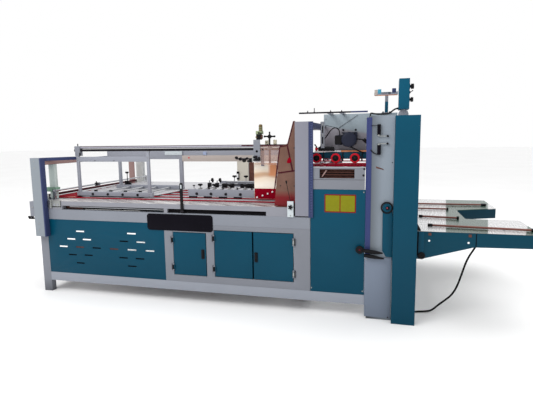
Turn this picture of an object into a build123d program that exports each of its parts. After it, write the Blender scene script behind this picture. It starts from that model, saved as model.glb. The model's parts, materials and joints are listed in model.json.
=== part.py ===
"""Folder gluer: a belt feed table on a cabinet body, hanging guide rails over
the table, a belt press section with sprung wheels, and a forked outfeed.

Machine coordinates, in millimetres: x runs with the boards from the infeed to
the outfeed, y from the operator's side to the far side, z up from the floor.
at() moves them so that the origin is the bottom centre of the whole machine.
"""
from build123d import *
import os
from math import radians, tan

os.makedirs("parts", exist_ok=True)

# ---- driving dimensions -------------------------------------------------
DEPTH = 1940.0          # operator's side face to far side face of the body
XC, YC = 2194.0, 970.0  # centre of the machine's outline on the floor

LEG_W, LEG_D = 89.0, 60.0
RAIL_D = 60.0
BOTTOM_RAIL = (115.0, 200.0)
TOP_RAIL = (740.0, 839.0)
BODY_END = 2730.0       # where the cabinet body meets the press section
PRESS_END = 3182.0
BEAM_Z = (878.0, 921.0)  # long beams of the table
TABLE_TOP = 921.0
BELT_TOP = 934.0
SHEET = 3.0             # cover sheets
GAP = 5.0               # round the doors
FREE_GAP = 7.0          # at a leaf's free edge, which swings wider
DOOR_T = 22.0
DOOR_1 = (1457.0, 1787.0, 262.0, 667.0)      # x0, x1, z0, z1 of the opening
DOOR_2 = (1861.0, 2590.0, 266.0, 697.0)
DOOR_2_SPLIT = 2224.0
HINGE_Y = -9.0          # hinge line in front of the frame's face
PIN_R = 4.0
KNUCKLE_R = 8.0
RUN = 0.05              # radial running clearance

BELT_Y = (205.0, 396.0, 587.0, 778.0, 970.0, 1162.0, 1353.0, 1544.0, 1735.0)
BELT_W, BELT_T = 50.0, 5.0
FEED_X0, FEED_X1 = 12.0, 2660.0
ROLLER_R = 30.0

GANTRY_A_X = (0.0, 106.0)
GANTRY_A_TOP = 1345.0
GANTRY_B_X = (2606.0, 2720.0)
GANTRY_B_TOP = 1635.0

WHEEL_R = 41.0
WHEEL_X = (2759.0, 2922.0, 3083.0)
WHEEL_Z = 1328.0
WHEEL_Y = (165.0, 205.0)
AXLE_R = 10.0
PRESS_BELT_TOP = 1281.0

COLUMN_X = (3200.0, 3400.0)
COLUMN_TOP = 1667.0
OUT_X = (3402.0, 3585.0)
OUT_TOP = 1663.0
OUT_FRONT = -70.0

FORK_TOP = 757.0
FORK_END = 4480.0
FAR_END = 4436.0
FORK_SHEET = 10.0

SCREW_XY = (2321.0, 262.0)
SCREW_R = 7.0


# ---- helpers ------------------------------------------------------------
def at(x, y, z):
    return (x - XC, y - YC, z)


def bar(x0, x1, y0, y1, z0, z1):
    with Locations(at((x0 + x1) / 2, (y0 + y1) / 2, (z0 + z1) / 2)):
        Box(x1 - x0, y1 - y0, z1 - z0)


def twin(x0, x1, y0, y1, z0, z1):
    bar(x0, x1, y0, y1, z0, z1)
    bar(x0, x1, DEPTH - y1, DEPTH - y0, z0, z1)


def rod_x(x0, x1, y, z, r):
    with Locations(Location(at((x0 + x1) / 2, y, z), (0, 90, 0))):
        Cylinder(r, x1 - x0)


def rod_y(y0, y1, x, z, r):
    with Locations(Location(at(x, (y0 + y1) / 2, z), (90, 0, 0))):
        Cylinder(r, y1 - y0)


def rod_z(z0, z1, x, y, r):
    with Locations(at(x, y, (z0 + z1) / 2)):
        Cylinder(r, z1 - z0)


def facing(y):
    """Upright plane at depth y, seen from the operator's side: local x and y
    are machine x and z."""
    return Plane(origin=at(0, y, 0), x_dir=(1, 0, 0), z_dir=(0, -1, 0))


def level(z):
    return Plane(origin=at(0, 0, z), x_dir=(1, 0, 0), z_dir=(0, 0, 1))


def save(part, label):
    part.label = label
    export_step(part, "parts/" + label + ".step")


# ---- cabinet body -------------------------------------------------------
with BuildPart() as frame_legs:
    twin(0, LEG_W, 0, LEG_D, 0, TOP_RAIL[1])
save(frame_legs.part, "frame_legs")

with BuildPart() as frame_rails:
    twin(LEG_W, PRESS_END + 18, 0, RAIL_D, *BOTTOM_RAIL)
    twin(LEG_W, BODY_END, 0, RAIL_D, *TOP_RAIL)
save(frame_rails.part, "frame_rails")

with BuildPart() as crossbeams:
    bar(10, 70, LEG_D, DEPTH - LEG_D, *BOTTOM_RAIL)
    bar(10, 70, LEG_D, DEPTH - LEG_D, TOP_RAIL[0], TOP_RAIL[1])
    bar(2660, 2720, RAIL_D, DEPTH - RAIL_D, *BOTTOM_RAIL)
    bar(2660, 2720, RAIL_D, DEPTH - RAIL_D, 760, 839)
    bar(1390, 1450, RAIL_D, DEPTH - RAIL_D, 760, 839)
    bar(3330, 3390, 90, DEPTH - 90, 120, 200)
    bar(3330, 3390, 90, DEPTH - 90, 640, 740)
    bar(2840, 2900, 270, DEPTH - 270, 1620, 1690)
    bar(3330, 3390, 270, DEPTH - 270, 1600, 1690)
    twin(3330, 3390, 90, 250, 1600, 1660)
save(crossbeams.part, "crossbeams")

with BuildPart() as door_frames:
    for y_back in (50.0, DEPTH):
        with BuildSketch(facing(y_back)):
            with Locations(((1372 + BODY_END) / 2, (TOP_RAIL[0] + BOTTOM_RAIL[1]) / 2)):
                Rectangle(BODY_END - 1372, TOP_RAIL[0] - BOTTOM_RAIL[1])
            for x0, x1, z0, z1 in (DOOR_1, DOOR_2):
                with Locations(((x0 + x1) / 2, (z0 + z1) / 2)):
                    Rectangle(x1 - x0, z1 - z0, mode=Mode.SUBTRACT)
        extrude(amount=50)
save(door_frames.part, "door_frames")

SLOTS_1 = ((462, 628), (355, 548), (533, 549), (260, 469), (449, 470),
           (638, 470), (361, 389), (542, 393), (444, 309))
SLOTS_2 = ((1027, 629), (942, 551), (1121, 550), (830, 470), (1024, 471),
           (1213, 471), (929, 389), (1105, 389), (1018, 311))
with BuildPart() as slotted_panels:
    for y_back in (6.0, DEPTH - 3.0):
        with BuildSketch(facing(y_back)):
            with Locations(((LEG_W + 1372) / 2, (TOP_RAIL[0] + BOTTOM_RAIL[1]) / 2)):
                Rectangle(1372 - LEG_W, TOP_RAIL[0] - BOTTOM_RAIL[1])
            with Locations(*(SLOTS_1 + SLOTS_2)):
                Rectangle(92, 13, mode=Mode.SUBTRACT)
        extrude(amount=SHEET)
save(slotted_panels.part, "slotted_panels")

with BuildPart() as side_panels:
    twin(BODY_END + 5, PRESS_END, 3, 6, 200, 1080)
    for x0, x1, z0, z1 in (DOOR_1, (DOOR_2[0], DOOR_2_SPLIT - 3, DOOR_2[2], DOOR_2[3]),
                           (DOOR_2_SPLIT + 3, DOOR_2[1], DOOR_2[2], DOOR_2[3])):
        bar(x0, x1, DEPTH - 22, DEPTH - 4, z0, z1)
save(side_panels.part, "side_panels")

with BuildPart() as window_frames:
    for y_back in (40.0, DEPTH):
        with BuildSketch(facing(y_back)):
            with Locations(((BODY_END + 6 + PRESS_END) / 2, 1170)):
                Rectangle(PRESS_END - BODY_END - 6, 180)
            with Locations((2952, 1209)):
                Rectangle(284, 75, mode=Mode.SUBTRACT)
        extrude(amount=40)
save(window_frames.part, "window_frames")

with BuildPart() as nameplate:
    with BuildSketch(facing(0)):
        with Locations(((1205 + 1856) / 2, 753.5)):
            RectangleRounded(651, 153, 26)
    extrude(amount=4)
save(nameplate.part, "nameplate")

with BuildPart() as label_plate:
    with BuildSketch(facing(3)):
        with Locations((2980, 964)):
            RectangleRounded(256, 150, 6)
    extrude(amount=2)
save(label_plate.part, "label_plate")


# ---- doors --------------------------------------------------------------
def door_leaf(x0, x1, z0, z1, hinge_left):
    """A folded steel leaf with its two hinge knuckles on the hinge line."""
    a, b = (GAP, FREE_GAP) if hinge_left else (FREE_GAP, GAP)
    bar(x0 + a, x1 - b, 0, DOOR_T, z0 + GAP, z1 - GAP)
    hx = x0 if hinge_left else x1
    for zc in (z0 + 75, z1 - 75):
        sx = 1 if hinge_left else -1
        a, b = sorted((hx + sx * 1.0, hx + sx * 15.0))
        bar(a, b, HINGE_Y - 1.5, HINGE_Y + 1.5, zc - 18, zc + 18)
        a, b = sorted((hx + sx * 9.5, hx + sx * 15.0))
        bar(a, b, HINGE_Y, 2, zc - 18, zc + 18)
        rod_z(zc - 18, zc + 18, hx, HINGE_Y, KNUCKLE_R)
        with Locations(at(hx, HINGE_Y, zc)):
            Cylinder(PIN_R + RUN, 60, mode=Mode.SUBTRACT)


def hinge_pins(x0, x1, z0, z1, hinge_left):
    """The pin with the two fixed eyes that carry it, on the frame's face."""
    hx = x0 if hinge_left else x1
    sx = -1 if hinge_left else 1
    for zc in (z0 + 75, z1 - 75):
        rod_z(zc - 32, zc + 32, hx, HINGE_Y, PIN_R)
        for a0, a1 in ((zc - 32, zc - 23), (zc + 23, zc + 32)):
            rod_z(a0, a1, hx, HINGE_Y, KNUCKLE_R)
            u, v = sorted((hx, hx + sx * 15.0))
            bar(u, v, HINGE_Y - 1.5, HINGE_Y + 1.5, a0, a1)
        u, v = sorted((hx + sx * 9.5, hx + sx * 15.0))
        bar(u, v, HINGE_Y - 1.5, 0, zc - 32, zc + 32)


LEAF_1 = DOOR_1 + (True,)
LEAF_2 = (DOOR_2[0], DOOR_2_SPLIT, DOOR_2[2], DOOR_2[3], True)
LEAF_3 = (DOOR_2_SPLIT, DOOR_2[1], DOOR_2[2], DOOR_2[3], False)

with BuildPart() as door_left:
    door_leaf(*LEAF_1)
save(door_left.part, "door_left")

with BuildPart() as door_mid_left:
    door_leaf(*LEAF_2)
save(door_mid_left.part, "door_mid_left")

with BuildPart() as door_mid_right:
    door_leaf(*LEAF_3)
save(door_mid_right.part, "door_mid_right")

with BuildPart() as door_hinge_pins:
    for leaf in (LEAF_1, LEAF_2, LEAF_3):
        hinge_pins(*leaf)
save(door_hinge_pins.part, "door_hinge_pins")

with BuildPart() as door_left_handle:
    with BuildSketch(facing(0)):
        with Locations((1752, 470)):
            RectangleRounded(30, 88, 6)
    extrude(amount=12)
save(door_left_handle.part, "door_left_handle")

with BuildPart() as door_mid_right_handle:
    with BuildSketch(facing(0)):
        with Locations((2254, 470)):
            RectangleRounded(30, 88, 6)
    extrude(amount=12)
save(door_mid_right_handle.part, "door_mid_right_handle")


# ---- feed table ---------------------------------------------------------
with BuildPart() as table_beams:
    for y0, y1 in ((0, 60), (DEPTH - 60, DEPTH)):
        bar(124, 2600, y0, y1, *BEAM_Z)
        for x0, x1 in ((124, 278), (1378, 1413), (2349, 2600)):
            bar(x0, x1, y0, y1, TOP_RAIL[1], BEAM_Z[0])
save(table_beams.part, "table_beams")

with BuildPart() as table_aprons:
    for mirrored in (False, True):
        with BuildSketch(level(TABLE_TOP)):
            with BuildLine():
                if mirrored:
                    Polyline((124, DEPTH - 2), (2430, DEPTH - 2), (2490, DEPTH - 182),
                             (124, DEPTH - 182), close=True)
                else:
                    Polyline((124, 2), (2430, 2), (2490, 182), (124, 182), close=True)
            make_face()
        extrude(amount=4)
save(table_aprons.part, "table_aprons")

with BuildPart() as table_deck:
    bar(60, 2600, 60, DEPTH - 60, TABLE_TOP - 8, TABLE_TOP)
    # arms of the infeed roller, under the deck
    for y0, y1 in ((60, 84), (DEPTH - 84, DEPTH - 60)):
        bar(-92, 260, y0, y1, TABLE_TOP - 40, TABLE_TOP - 8)
save(table_deck.part, "table_deck")

with BuildPart() as belt_beams:
    for y in BELT_Y:
        bar(80, 2600, y - 21, y + 21, TABLE_TOP, BELT_TOP - BELT_T)
save(belt_beams.part, "belt_beams")

with BuildPart() as feed_belts:
    for y in BELT_Y:
        zr = BELT_TOP - BELT_T - ROLLER_R
        with BuildSketch(facing(y + BELT_W / 2)):
            with Locations(((FEED_X0 + FEED_X1) / 2, zr)):
                SlotCenterToCenter(FEED_X1 - FEED_X0, 2 * (ROLLER_R + BELT_T))
                SlotCenterToCenter(FEED_X1 - FEED_X0, 2 * ROLLER_R, mode=Mode.SUBTRACT)
        extrude(amount=BELT_W)
save(feed_belts.part, "feed_belts")

with BuildPart() as belt_rollers:
    zr = BELT_TOP - BELT_T - ROLLER_R
    rod_y(84, DEPTH - 84, FEED_X0, zr, ROLLER_R - 0.5)
    rod_y(60, DEPTH - 60, FEED_X1, zr, ROLLER_R - 0.5)
    rod_y(84, DEPTH - 84, -60, 905, 30)
    for x in (2702, 3218):
        rod_y(90, DEPTH - 90, x, PRESS_BELT_TOP - 8 - 36, 35.5)
    for y0, y1 in ((60, 90), (DEPTH - 90, DEPTH - 60)):
        rod_y(y0, y1, 2702, PRESS_BELT_TOP - 8 - 36, 15)
    for x in (2860, 3060):
        rod_y(40, DEPTH - 40, x, 1120, 40)
save(belt_rollers.part, "belt_rollers")

with BuildPart() as infeed_rod:
    rod_y(60, DEPTH - 60, 136, 1012, 9)
    for y in (80, DEPTH - 80):
        bar(124, 148, y - 12, y + 12, TABLE_TOP + 4, 1026)
    bar(120, 152, 770, 808, 996, 1028)
save(infeed_rod.part, "infeed_rod")

# ---- portals over the table --------------------------------------------
with BuildPart() as gantry_columns:
    bar(GANTRY_A_X[0], GANTRY_A_X[1], -60, 0, 575, GANTRY_A_TOP)
    bar(-64, 42, DEPTH, DEPTH + 60, 575, GANTRY_A_TOP)
    bar(GANTRY_B_X[0], GANTRY_B_X[1], -10, 60, 850, GANTRY_B_TOP)
    bar(GANTRY_B_X[0], GANTRY_B_X[1], DEPTH - 60, DEPTH + 10, 850, GANTRY_B_TOP)
save(gantry_columns.part, "gantry_columns")

with BuildPart() as gantry_beams:
    bar(30, 106, 0, DEPTH, 1275, 1318)
    # slanting arm from the near column to the first hanging post
    with BuildSketch(level(1314)):
        with BuildLine():
            Polyline((60, 0), (106, 0), (262, 272), (262, 312), (236, 312), close=True)
        make_face()
    extrude(amount=31)
    bar(106, 146, 985, 1015, 1290, 1316)
    bar(2640, 2720, 60, DEPTH - 60, 1580, GANTRY_B_TOP)
    bar(2596, 2638, 280, 320, 1396, 1580)
    bar(2596, 2660, 280, 320, 1580, 1635)
    bar(2496, 2540, 980, 1020, 1290, 1580)
    bar(2496, 2660, 980, 1020, 1580, 1635)
save(gantry_beams.part, "gantry_beams")

with BuildPart() as edge_strips:
    twin(106, 120, -60, 0, 572, GANTRY_A_TOP)
    twin(2720, 2734, -10, 60, 840, GANTRY_B_TOP)
    twin(2734, 2758, -10, 0, 840, GANTRY_B_TOP)
    for y0, y1, y2 in ((0, 20, 60), (DEPTH - 20, DEPTH, DEPTH - 60)):
        bar(3184, 3200, y0, y1, 200, 1655)
        a, b = sorted((y1 if y2 > y1 else y0, y2))
        bar(3184, 3200, a, b, 200, 1570)
save(edge_strips.part, "edge_strips")

# ---- hanging guide rails ------------------------------------------------
with BuildPart() as hanging_posts:
    for x0, x1 in ((262, 292), (1064, 1094)):
        bar(x0, x1, 280, 302, 985, 1396)
    for x0, x1 in ((287, 317), (1071, 1113)):
        bar(x0, x1, 980, 1010, 985, 1285)
    bar(46, 110, 130, 168, TABLE_TOP, 1275)
    bar(1450, 1608, DEPTH - 46, DEPTH - 6, TABLE_TOP + 4, 1300)
save(hanging_posts.part, "hanging_posts")

with BuildPart() as hanging_beams:
    bar(244, 1110, 280, 320, 942, 985)
    bar(244, 1110, 980, 1020, 942, 985)
    bar(292, 1064, 282, 300, 1292, 1342)
    bar(146, 1114, 980, 1020, 1285, 1378)
    bar(1114, 2496, 980, 1020, 1259, 1378)
    # shorter carrier of the second set of guides
    bar(1455, 2135, 370, 380, 950, 1018)
    bar(1455, 2135, 1240, 1260, 950, 1018)
save(hanging_beams.part, "hanging_beams")

with BuildPart() as chrome_rails:
    bar(240, 2596, 285, 315, 1396, 1419)
    rod_x(240, 2596, 300, 1436, 13)
save(chrome_rails.part, "chrome_rails")

with BuildPart() as cross_rods:
    for x in (433, 609, 779, 948):
        rod_y(320, 980, x, 962, 9)
    for x in (1535, 1690, 1850, 2005):
        rod_y(380, 1240, x, 990, 9)
save(cross_rods.part, "cross_rods")

with BuildPart() as guide_wheels:
    for x in (1500, 1655, 1812, 1965):
        rod_y(380, 402, x, BELT_TOP + 30, 29)
    rod_y(-12, 0, 3349, 939, 52)
    rod_y(-16, 0, 3625, 563, 29)
save(guide_wheels.part, "guide_wheels")

# ---- glue station -------------------------------------------------------
with BuildPart() as mounting_brackets:
    # hanging bracket of the glue valve, round-holed
    with BuildSketch(facing(234)):
        with Locations((2209, 1394)):
            Rectangle(62, 196)
        with Locations((2209, 1388)):
            Circle(11, mode=Mode.SUBTRACT)
    extrude(amount=6)
    # plate of the clamping knobs
    bar(2538, 2592, -8, 0, 838, 975)
    # slotted upright between the portal and the press
    with BuildSketch(facing(130)):
        with Locations((2818, 1525)):
            Rectangle(30, 220)
        with Locations((2818, 1480), (2818, 1570)):
            SlotOverall(60, 11, rotation=90, mode=Mode.SUBTRACT)
    extrude(amount=6)
    # switch box on the infeed portal
    bar(-60, 0, -45, 15, 770, 918)
    # arms that carry the valve bracket, the tray, the guards and the screw
    bar(2195, 2223, 234, 300, 1449, 1461)
    bar(2220, 2250, 315, 330, 1405, 1419)
    bar(2220, 2250, 322, 330, 1250, 1405)
    for x in (2265, 2460):
        bar(x - 10, x + 10, 242, 285, 1405, 1419)
    for z in (1030, 1400):
        bar(2584, 2606, 45, 55, z - 15, z + 15)
    with BuildSketch(level(1405)):
        with Locations((2321, 267)):
            Rectangle(36, 36)
        with Locations(SCREW_XY):
            Circle(SCREW_R, mode=Mode.SUBTRACT)
    extrude(amount=30)
    # hangers of the press beam, the valve block and the slotted upright
    for x in (2860, 3240):
        twin(x, x + 30, 246, 270, 1322, 1390)
    bar(2836, 2866, 180, 250, 1395, 1420)
    bar(2808, 2828, 130, 250, 1590, 1605)
    # foot of the grey guard's plate
    bar(3360, 3390, -12, 0, 560, 600)
save(mounting_brackets.part, "mounting_brackets")

with BuildPart() as glue_valve:
    bar(2202, 2256, 226, 290, 1492, 1541)
    bar(2198, 2260, 228, 288, 1541, 1572)
    rod_z(1572, 1630, 2240, 258, 17)
save(glue_valve.part, "glue_valve")

with BuildPart() as fixed_shafts:
    rod_z(1280, 1562, *SCREW_XY, SCREW_R)
    for x in WHEEL_X:
        rod_y(WHEEL_Y[0] - 8, 222, x, WHEEL_Z, AXLE_R)
save(fixed_shafts.part, "fixed_shafts")

with BuildPart() as hand_wheel:
    rod_z(1503, 1535, *SCREW_XY, 16)
    with Locations(at(SCREW_XY[0], SCREW_XY[1], 1520)):
        with PolarLocations(30, 4, start_angle=30):
            Box(36, 13, 12)
        with PolarLocations(46, 4, start_angle=30):
            Cylinder(9, 16)
    with Locations(at(SCREW_XY[0], SCREW_XY[1], 1520)):
        Cylinder(SCREW_R + RUN, 60, mode=Mode.SUBTRACT)
save(hand_wheel.part, "hand_wheel")

with BuildPart() as glue_tray:
    bar(2150, 2360, 330, 366, 944, 1278)
save(glue_tray.part, "glue_tray")

with BuildPart() as front_guard:
    bar(2190, 2490, 237, 242, 1266, 1441)
save(front_guard.part, "front_guard")

with BuildPart() as end_guard:
    with BuildSketch(facing(45)):
        with BuildLine():
            Polyline((2414, 926), (2600, 926), (2600, 1643), (2586, 1643),
                     (2545, 1462), (2467, 1432), close=True)
        make_face()
    extrude(amount=5)
save(end_guard.part, "end_guard")

with BuildPart() as slotted_lever:
    with BuildSketch(facing(-6)):
        with Locations((1566, 985)):
            RectangleRounded(30, 268, 8)
        with Locations((1565, 1060)):
            SlotOverall(80, 12, rotation=90, mode=Mode.SUBTRACT)
    extrude(amount=8)
    bar(1554, 1578, -6, 0, 880, 905)
save(slotted_lever.part, "slotted_lever")

# ---- press section ------------------------------------------------------
with BuildPart() as press_walls:
    twin(2810, 3420, 250, 270, 1390, 1700)
save(press_walls.part, "press_walls")

with BuildPart() as press_beams:
    twin(2690, 3320, 222, 246, 1322, 1377)
save(press_beams.part, "press_beams")

with BuildPart() as press_belts:
    for y in (185.0, 700.0, 1240.0, 1755.0):
        with BuildSketch(Plane(origin=at(0, y + 20, 0), x_dir=(1, 0, 0), z_dir=(0, -1, 0))):
            with Locations((2960, PRESS_BELT_TOP - 44)):
                SlotCenterToCenter(516, 88)
                SlotCenterToCenter(516, 72, mode=Mode.SUBTRACT)
        extrude(amount=40)
save(press_belts.part, "press_belts")


def press_wheel(x):
    rod_y(WHEEL_Y[0], WHEEL_Y[1], x, WHEEL_Z, WHEEL_R)
    with Locations(Location(at(x, (WHEEL_Y[0] + WHEEL_Y[1]) / 2, WHEEL_Z), (90, 0, 0))):
        Cylinder(AXLE_R + RUN, 80, mode=Mode.SUBTRACT)


with BuildPart() as press_wheel_left:
    press_wheel(WHEEL_X[0])
save(press_wheel_left.part, "press_wheel_left")

with BuildPart() as press_wheel_middle:
    press_wheel(WHEEL_X[1])
save(press_wheel_middle.part, "press_wheel_middle")

with BuildPart() as press_wheel_right:
    press_wheel(WHEEL_X[2])
save(press_wheel_right.part, "press_wheel_right")

with BuildPart() as motor:
    rod_y(130, 250, 3033, 1484, 64)
    bar(2920, 2975, 150, 230, 1440, 1521)
save(motor.part, "motor")

with BuildPart() as press_columns:
    twin(COLUMN_X[0], COLUMN_X[1], 0, 90, 0, COLUMN_TOP)
save(press_columns.part, "press_columns")

with BuildPart() as black_fittings:
    # two limit switches on the column, with their roller arms
    bar(3266, 3293, -26, 0, 1519, 1600)
    bar(3293, 3345, -20, -12, 1510, 1522)
    bar(3267, 3295, -26, 0, 1362, 1439)
    bar(3295, 3353, -20, -12, 1436, 1448)
    # two tapered grips in front of the column's cover
    for x1, z in ((3330, 586), (3335, 540)):
        rod_x(3180, x1, -36, z, 14)
        bar(3202, 3220, -30, 0, z - 7, z + 7)
    # valve block beside the press wheels
    bar(2778, 2912, 140, 180, 1390, 1425)
    # knobs on the control box
    rod_x(3500, 3533, 20, 1883, 20)
    rod_x(3500, 3529, 20, 1784, 18)
    # lever under the infeed portal's switch box
    bar(-80, -20, -52, -36, 742, 758)
    bar(-48, -34, -45, -36, 750, 770)
save(black_fittings.part, "black_fittings")

with BuildPart() as cover_plates:
    twin(3186, 3396, -6, 0, 20, 530)
save(cover_plates.part, "cover_plates")

with BuildPart() as guard_bracket:
    with BuildSketch(facing(-12)):
        with BuildLine():
            Polyline((3322, 939), (3392, 939), (3400, 900), (3400, 539), (3352, 539),
                     (3322, 590), close=True)
        make_face()
        with Locations((3349, 939)):
            Circle(35)
    extrude(amount=6)
save(guard_bracket.part, "guard_bracket")

# ---- outfeed ------------------------------------------------------------
with BuildPart() as outfeed_columns:
    twin(OUT_X[0], OUT_X[1], OUT_FRONT, 60, 0, OUT_TOP)
save(outfeed_columns.part, "outfeed_columns")

with BuildPart() as control_box:
    bar(3421, 3500, -30, 150, 1710, 1940)
save(control_box.part, "control_box")

with BuildPart() as top_brackets:
    # half-round foot of the control box
    with BuildSketch(facing(40)):
        with BuildLine():
            Line((3422, OUT_TOP), (3496, OUT_TOP))
            ThreePointArc((3496, OUT_TOP), (3459, OUT_TOP + 47), (3422, OUT_TOP))
        make_face()
    extrude(amount=40)
    # T-shaped stand on the press section's top
    bar(3318, 3343, 240, 265, 1700, 1845)
    bar(3230, 3418, 236, 269, 1845, 1866)
    # thin strip over the press section, on two arms
    bar(2641, 3190, -10, 20, 1697, 1707)
    for x in (2880, 2980):
        bar(x - 15, x + 15, 20, 250, 1695, 1707)
save(top_brackets.part, "top_brackets")

with BuildPart() as fork_sides:
    for y_back, end in ((FORK_SHEET, FORK_END), (DEPTH, FAR_END)):
        with BuildSketch(facing(y_back)):
            with BuildLine():
                Polyline((3587, FORK_TOP), (end, FORK_TOP), (end, 655),
                         (4010, 646), (3622, 533), (3587, 533), close=True)
            make_face()
        extrude(amount=FORK_SHEET)
    # flanges round the notch
    bar(4046, FORK_END, 644, 650, 655, FORK_TOP - 6)
    with BuildSketch(level(655)):
        with BuildLine():
            Polyline((4044, 1169), (FAR_END, 1341), (FAR_END, 1347.5), (4044, 1175.5), close=True)
        make_face()
    extrude(amount=FORK_TOP - 6 - 655)
save(fork_sides.part, "fork_sides")

with BuildPart() as fork_deck:
    with BuildSketch(level(FORK_TOP - 6)):
        with BuildLine():
            Polyline((3590, FORK_SHEET), (FORK_END, FORK_SHEET), (FORK_END, 650),
                     (4040, 650), (4030, 1163), (FAR_END, 1341),
                     (FAR_END, DEPTH - FORK_SHEET), (3590, DEPTH - FORK_SHEET), close=True)
        make_face()
    extrude(amount=6)
save(fork_deck.part, "fork_deck")

with BuildPart() as fork_rods:
    rod_x(3650, FORK_END - 30, 300, FORK_TOP + 12, 9)
    rod_x(3650, 3990, 740, FORK_TOP + 12, 9)
    rod_x(3650, 3950, 1250, FORK_TOP + 12, 9)
    rod_x(3650, FAR_END - 30, 1600, FORK_TOP + 12, 9)
save(fork_rods.part, "fork_rods")


with BuildPart() as cable_glands:
    # under the near arm, and low on the back of the outfeed column
    bar(4086, 4126, 280, 320, 721, FORK_TOP - 6)
    rod_z(700, 721, 4106, 300, 11)
    rod_y(60, 76, 3492, 32, 11)
save(cable_glands.part, "cable_glands")


# ---- cords --------------------------------------------------------------
def cord(points, radius):
    """A tube along straight runs joined by tangent arcs."""
    pts = [Vector(*at(*p)) for p in points]
    radii = []
    for a, b, c in zip(pts, pts[1:], pts[2:]):
        turn = (b - a).get_angle(c - b)
        short = min((b - a).length, (c - b).length)
        radii.append(0.45 * short / tan(radians(turn) / 2))
    print("cord radii", [round(r) for r in radii], "runs",
          [round((b - a).length) for a, b in zip(pts, pts[1:])])
    with BuildLine() as path:
        FilletPolyline(*pts, radius=radii)
    length = sum(e.length for e in path.line.edges())
    with BuildSketch(Plane(origin=path.line @ 0, z_dir=path.line % 0)) as section:
        Circle(radius)
    sweep(sections=section.sketch, path=path.line)
    print("cord length", round(length), "section times length",
          round(3.14159265 * radius ** 2 * length))


OUTFEED_CABLE = ((4106, 300, 700), (4106, 300, 638), (4060, 300, 562), (4012, 298, 474),
                 (3978, 292, 360), (3946, 284, 250), (3905, 276, 166), (3850, 268, 116),
                 (3794, 260, 70), (3740, 252, 18), (3690, 244, 9.5), (3630, 230, 9),
                 (3562, 202, 9), (3505, 158, 14), (3492, 112, 32), (3492, 76, 32))
MOTOR_CABLE = ((2953, 190, 1521), (2953, 190, 1545), (2944, 189, 1572), (2914, 187, 1587),
               (2880, 183, 1568), (2853, 179, 1528), (2825, 174, 1490), (2797, 162, 1458),
               (2797, 162, 1425))
CONTROL_CONDUIT = ((3208, 250, 1640), (3208, 222, 1640), (3207, 190, 1654), (3206, 158, 1672),
                   (3206, 126, 1686), (3210, 96, 1692), (3222, 70, 1690), (3244, 52, 1684),
                   (3274, 38, 1680), (3308, 26, 1679), (3344, 18, 1680), (3364, 16, 1690),
                   (3380, 15, 1704), (3395, 14, 1714), (3408, 14, 1718.5), (3421, 14, 1718.5))

with BuildPart() as outfeed_cable:
    cord(OUTFEED_CABLE, 8)
save(outfeed_cable.part, "outfeed_cable")

with BuildPart() as motor_cable:
    cord(MOTOR_CABLE, 4.5)
save(motor_cable.part, "motor_cable")

with BuildPart() as control_conduit:
    cord(CONTROL_CONDUIT, 6)
save(control_conduit.part, "control_conduit")
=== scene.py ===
"""Looks of the folder gluer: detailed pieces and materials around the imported
model. Lengths in the helpers are machine millimetres (x from the infeed end,
y from the operator's side, z from the floor); q() turns them into the frame."""
import bpy
import bmesh
import json
from math import radians, sin, cos, pi, sqrt
from mathutils import Vector, Matrix


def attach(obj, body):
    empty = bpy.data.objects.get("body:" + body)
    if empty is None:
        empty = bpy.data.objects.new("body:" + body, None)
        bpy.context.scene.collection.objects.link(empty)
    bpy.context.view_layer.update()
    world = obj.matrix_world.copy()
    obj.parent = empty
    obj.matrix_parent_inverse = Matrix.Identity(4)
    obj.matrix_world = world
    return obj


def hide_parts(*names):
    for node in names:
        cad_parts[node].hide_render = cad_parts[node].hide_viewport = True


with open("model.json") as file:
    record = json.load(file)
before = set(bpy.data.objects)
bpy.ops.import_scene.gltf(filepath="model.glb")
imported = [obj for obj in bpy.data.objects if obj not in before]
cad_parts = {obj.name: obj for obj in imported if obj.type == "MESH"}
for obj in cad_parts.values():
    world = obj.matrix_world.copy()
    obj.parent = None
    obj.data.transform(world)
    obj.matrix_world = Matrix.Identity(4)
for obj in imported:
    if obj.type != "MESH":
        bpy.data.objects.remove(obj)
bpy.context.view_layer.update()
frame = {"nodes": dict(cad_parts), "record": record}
scene = bpy.context.scene

XC, YC = 2194.0, 970.0
DEPTH = 1940.0


def q(x, y, z):
    return Vector(((x - XC) / 1000.0, (y - YC) / 1000.0, z / 1000.0))


# ---- camera -------------------------------------------------------------
cam_data = bpy.data.cameras.new("camera")
cam = bpy.data.objects.new("camera", cam_data)
scene.collection.objects.link(cam)
cam_data.sensor_width = 36.0
cam_data.lens = 448.12 / 533.0 * 36.0
cam_data.clip_end = 200.0
yaw, pitch, roll = 0.26441486, -0.1359399, 0.01385416
R = (Matrix.Rotation(yaw, 3, 'Z') @ Matrix.Rotation(pitch, 3, 'X') @ Matrix.Rotation(roll, 3, 'Y'))
view = Matrix((R.col[0], R.col[2], -R.col[1])).transposed().to_4x4()
view.translation = Vector((3.34895 - XC / 1000, -3.67006 - YC / 1000, 1.5))
cam.matrix_world = view
scene.camera = cam


# ---- materials ----------------------------------------------------------
def srgb(r, g, b):
    def lin(c):
        c = c / 255.0
        return c / 12.92 if c <= 0.04045 else ((c + 0.055) / 1.055) ** 2.4
    return (lin(r), lin(g), lin(b), 1.0)


def shade(c, k):
    return (min(1, c[0] * k), min(1, c[1] * k), min(1, c[2] * k), 1.0)


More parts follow.
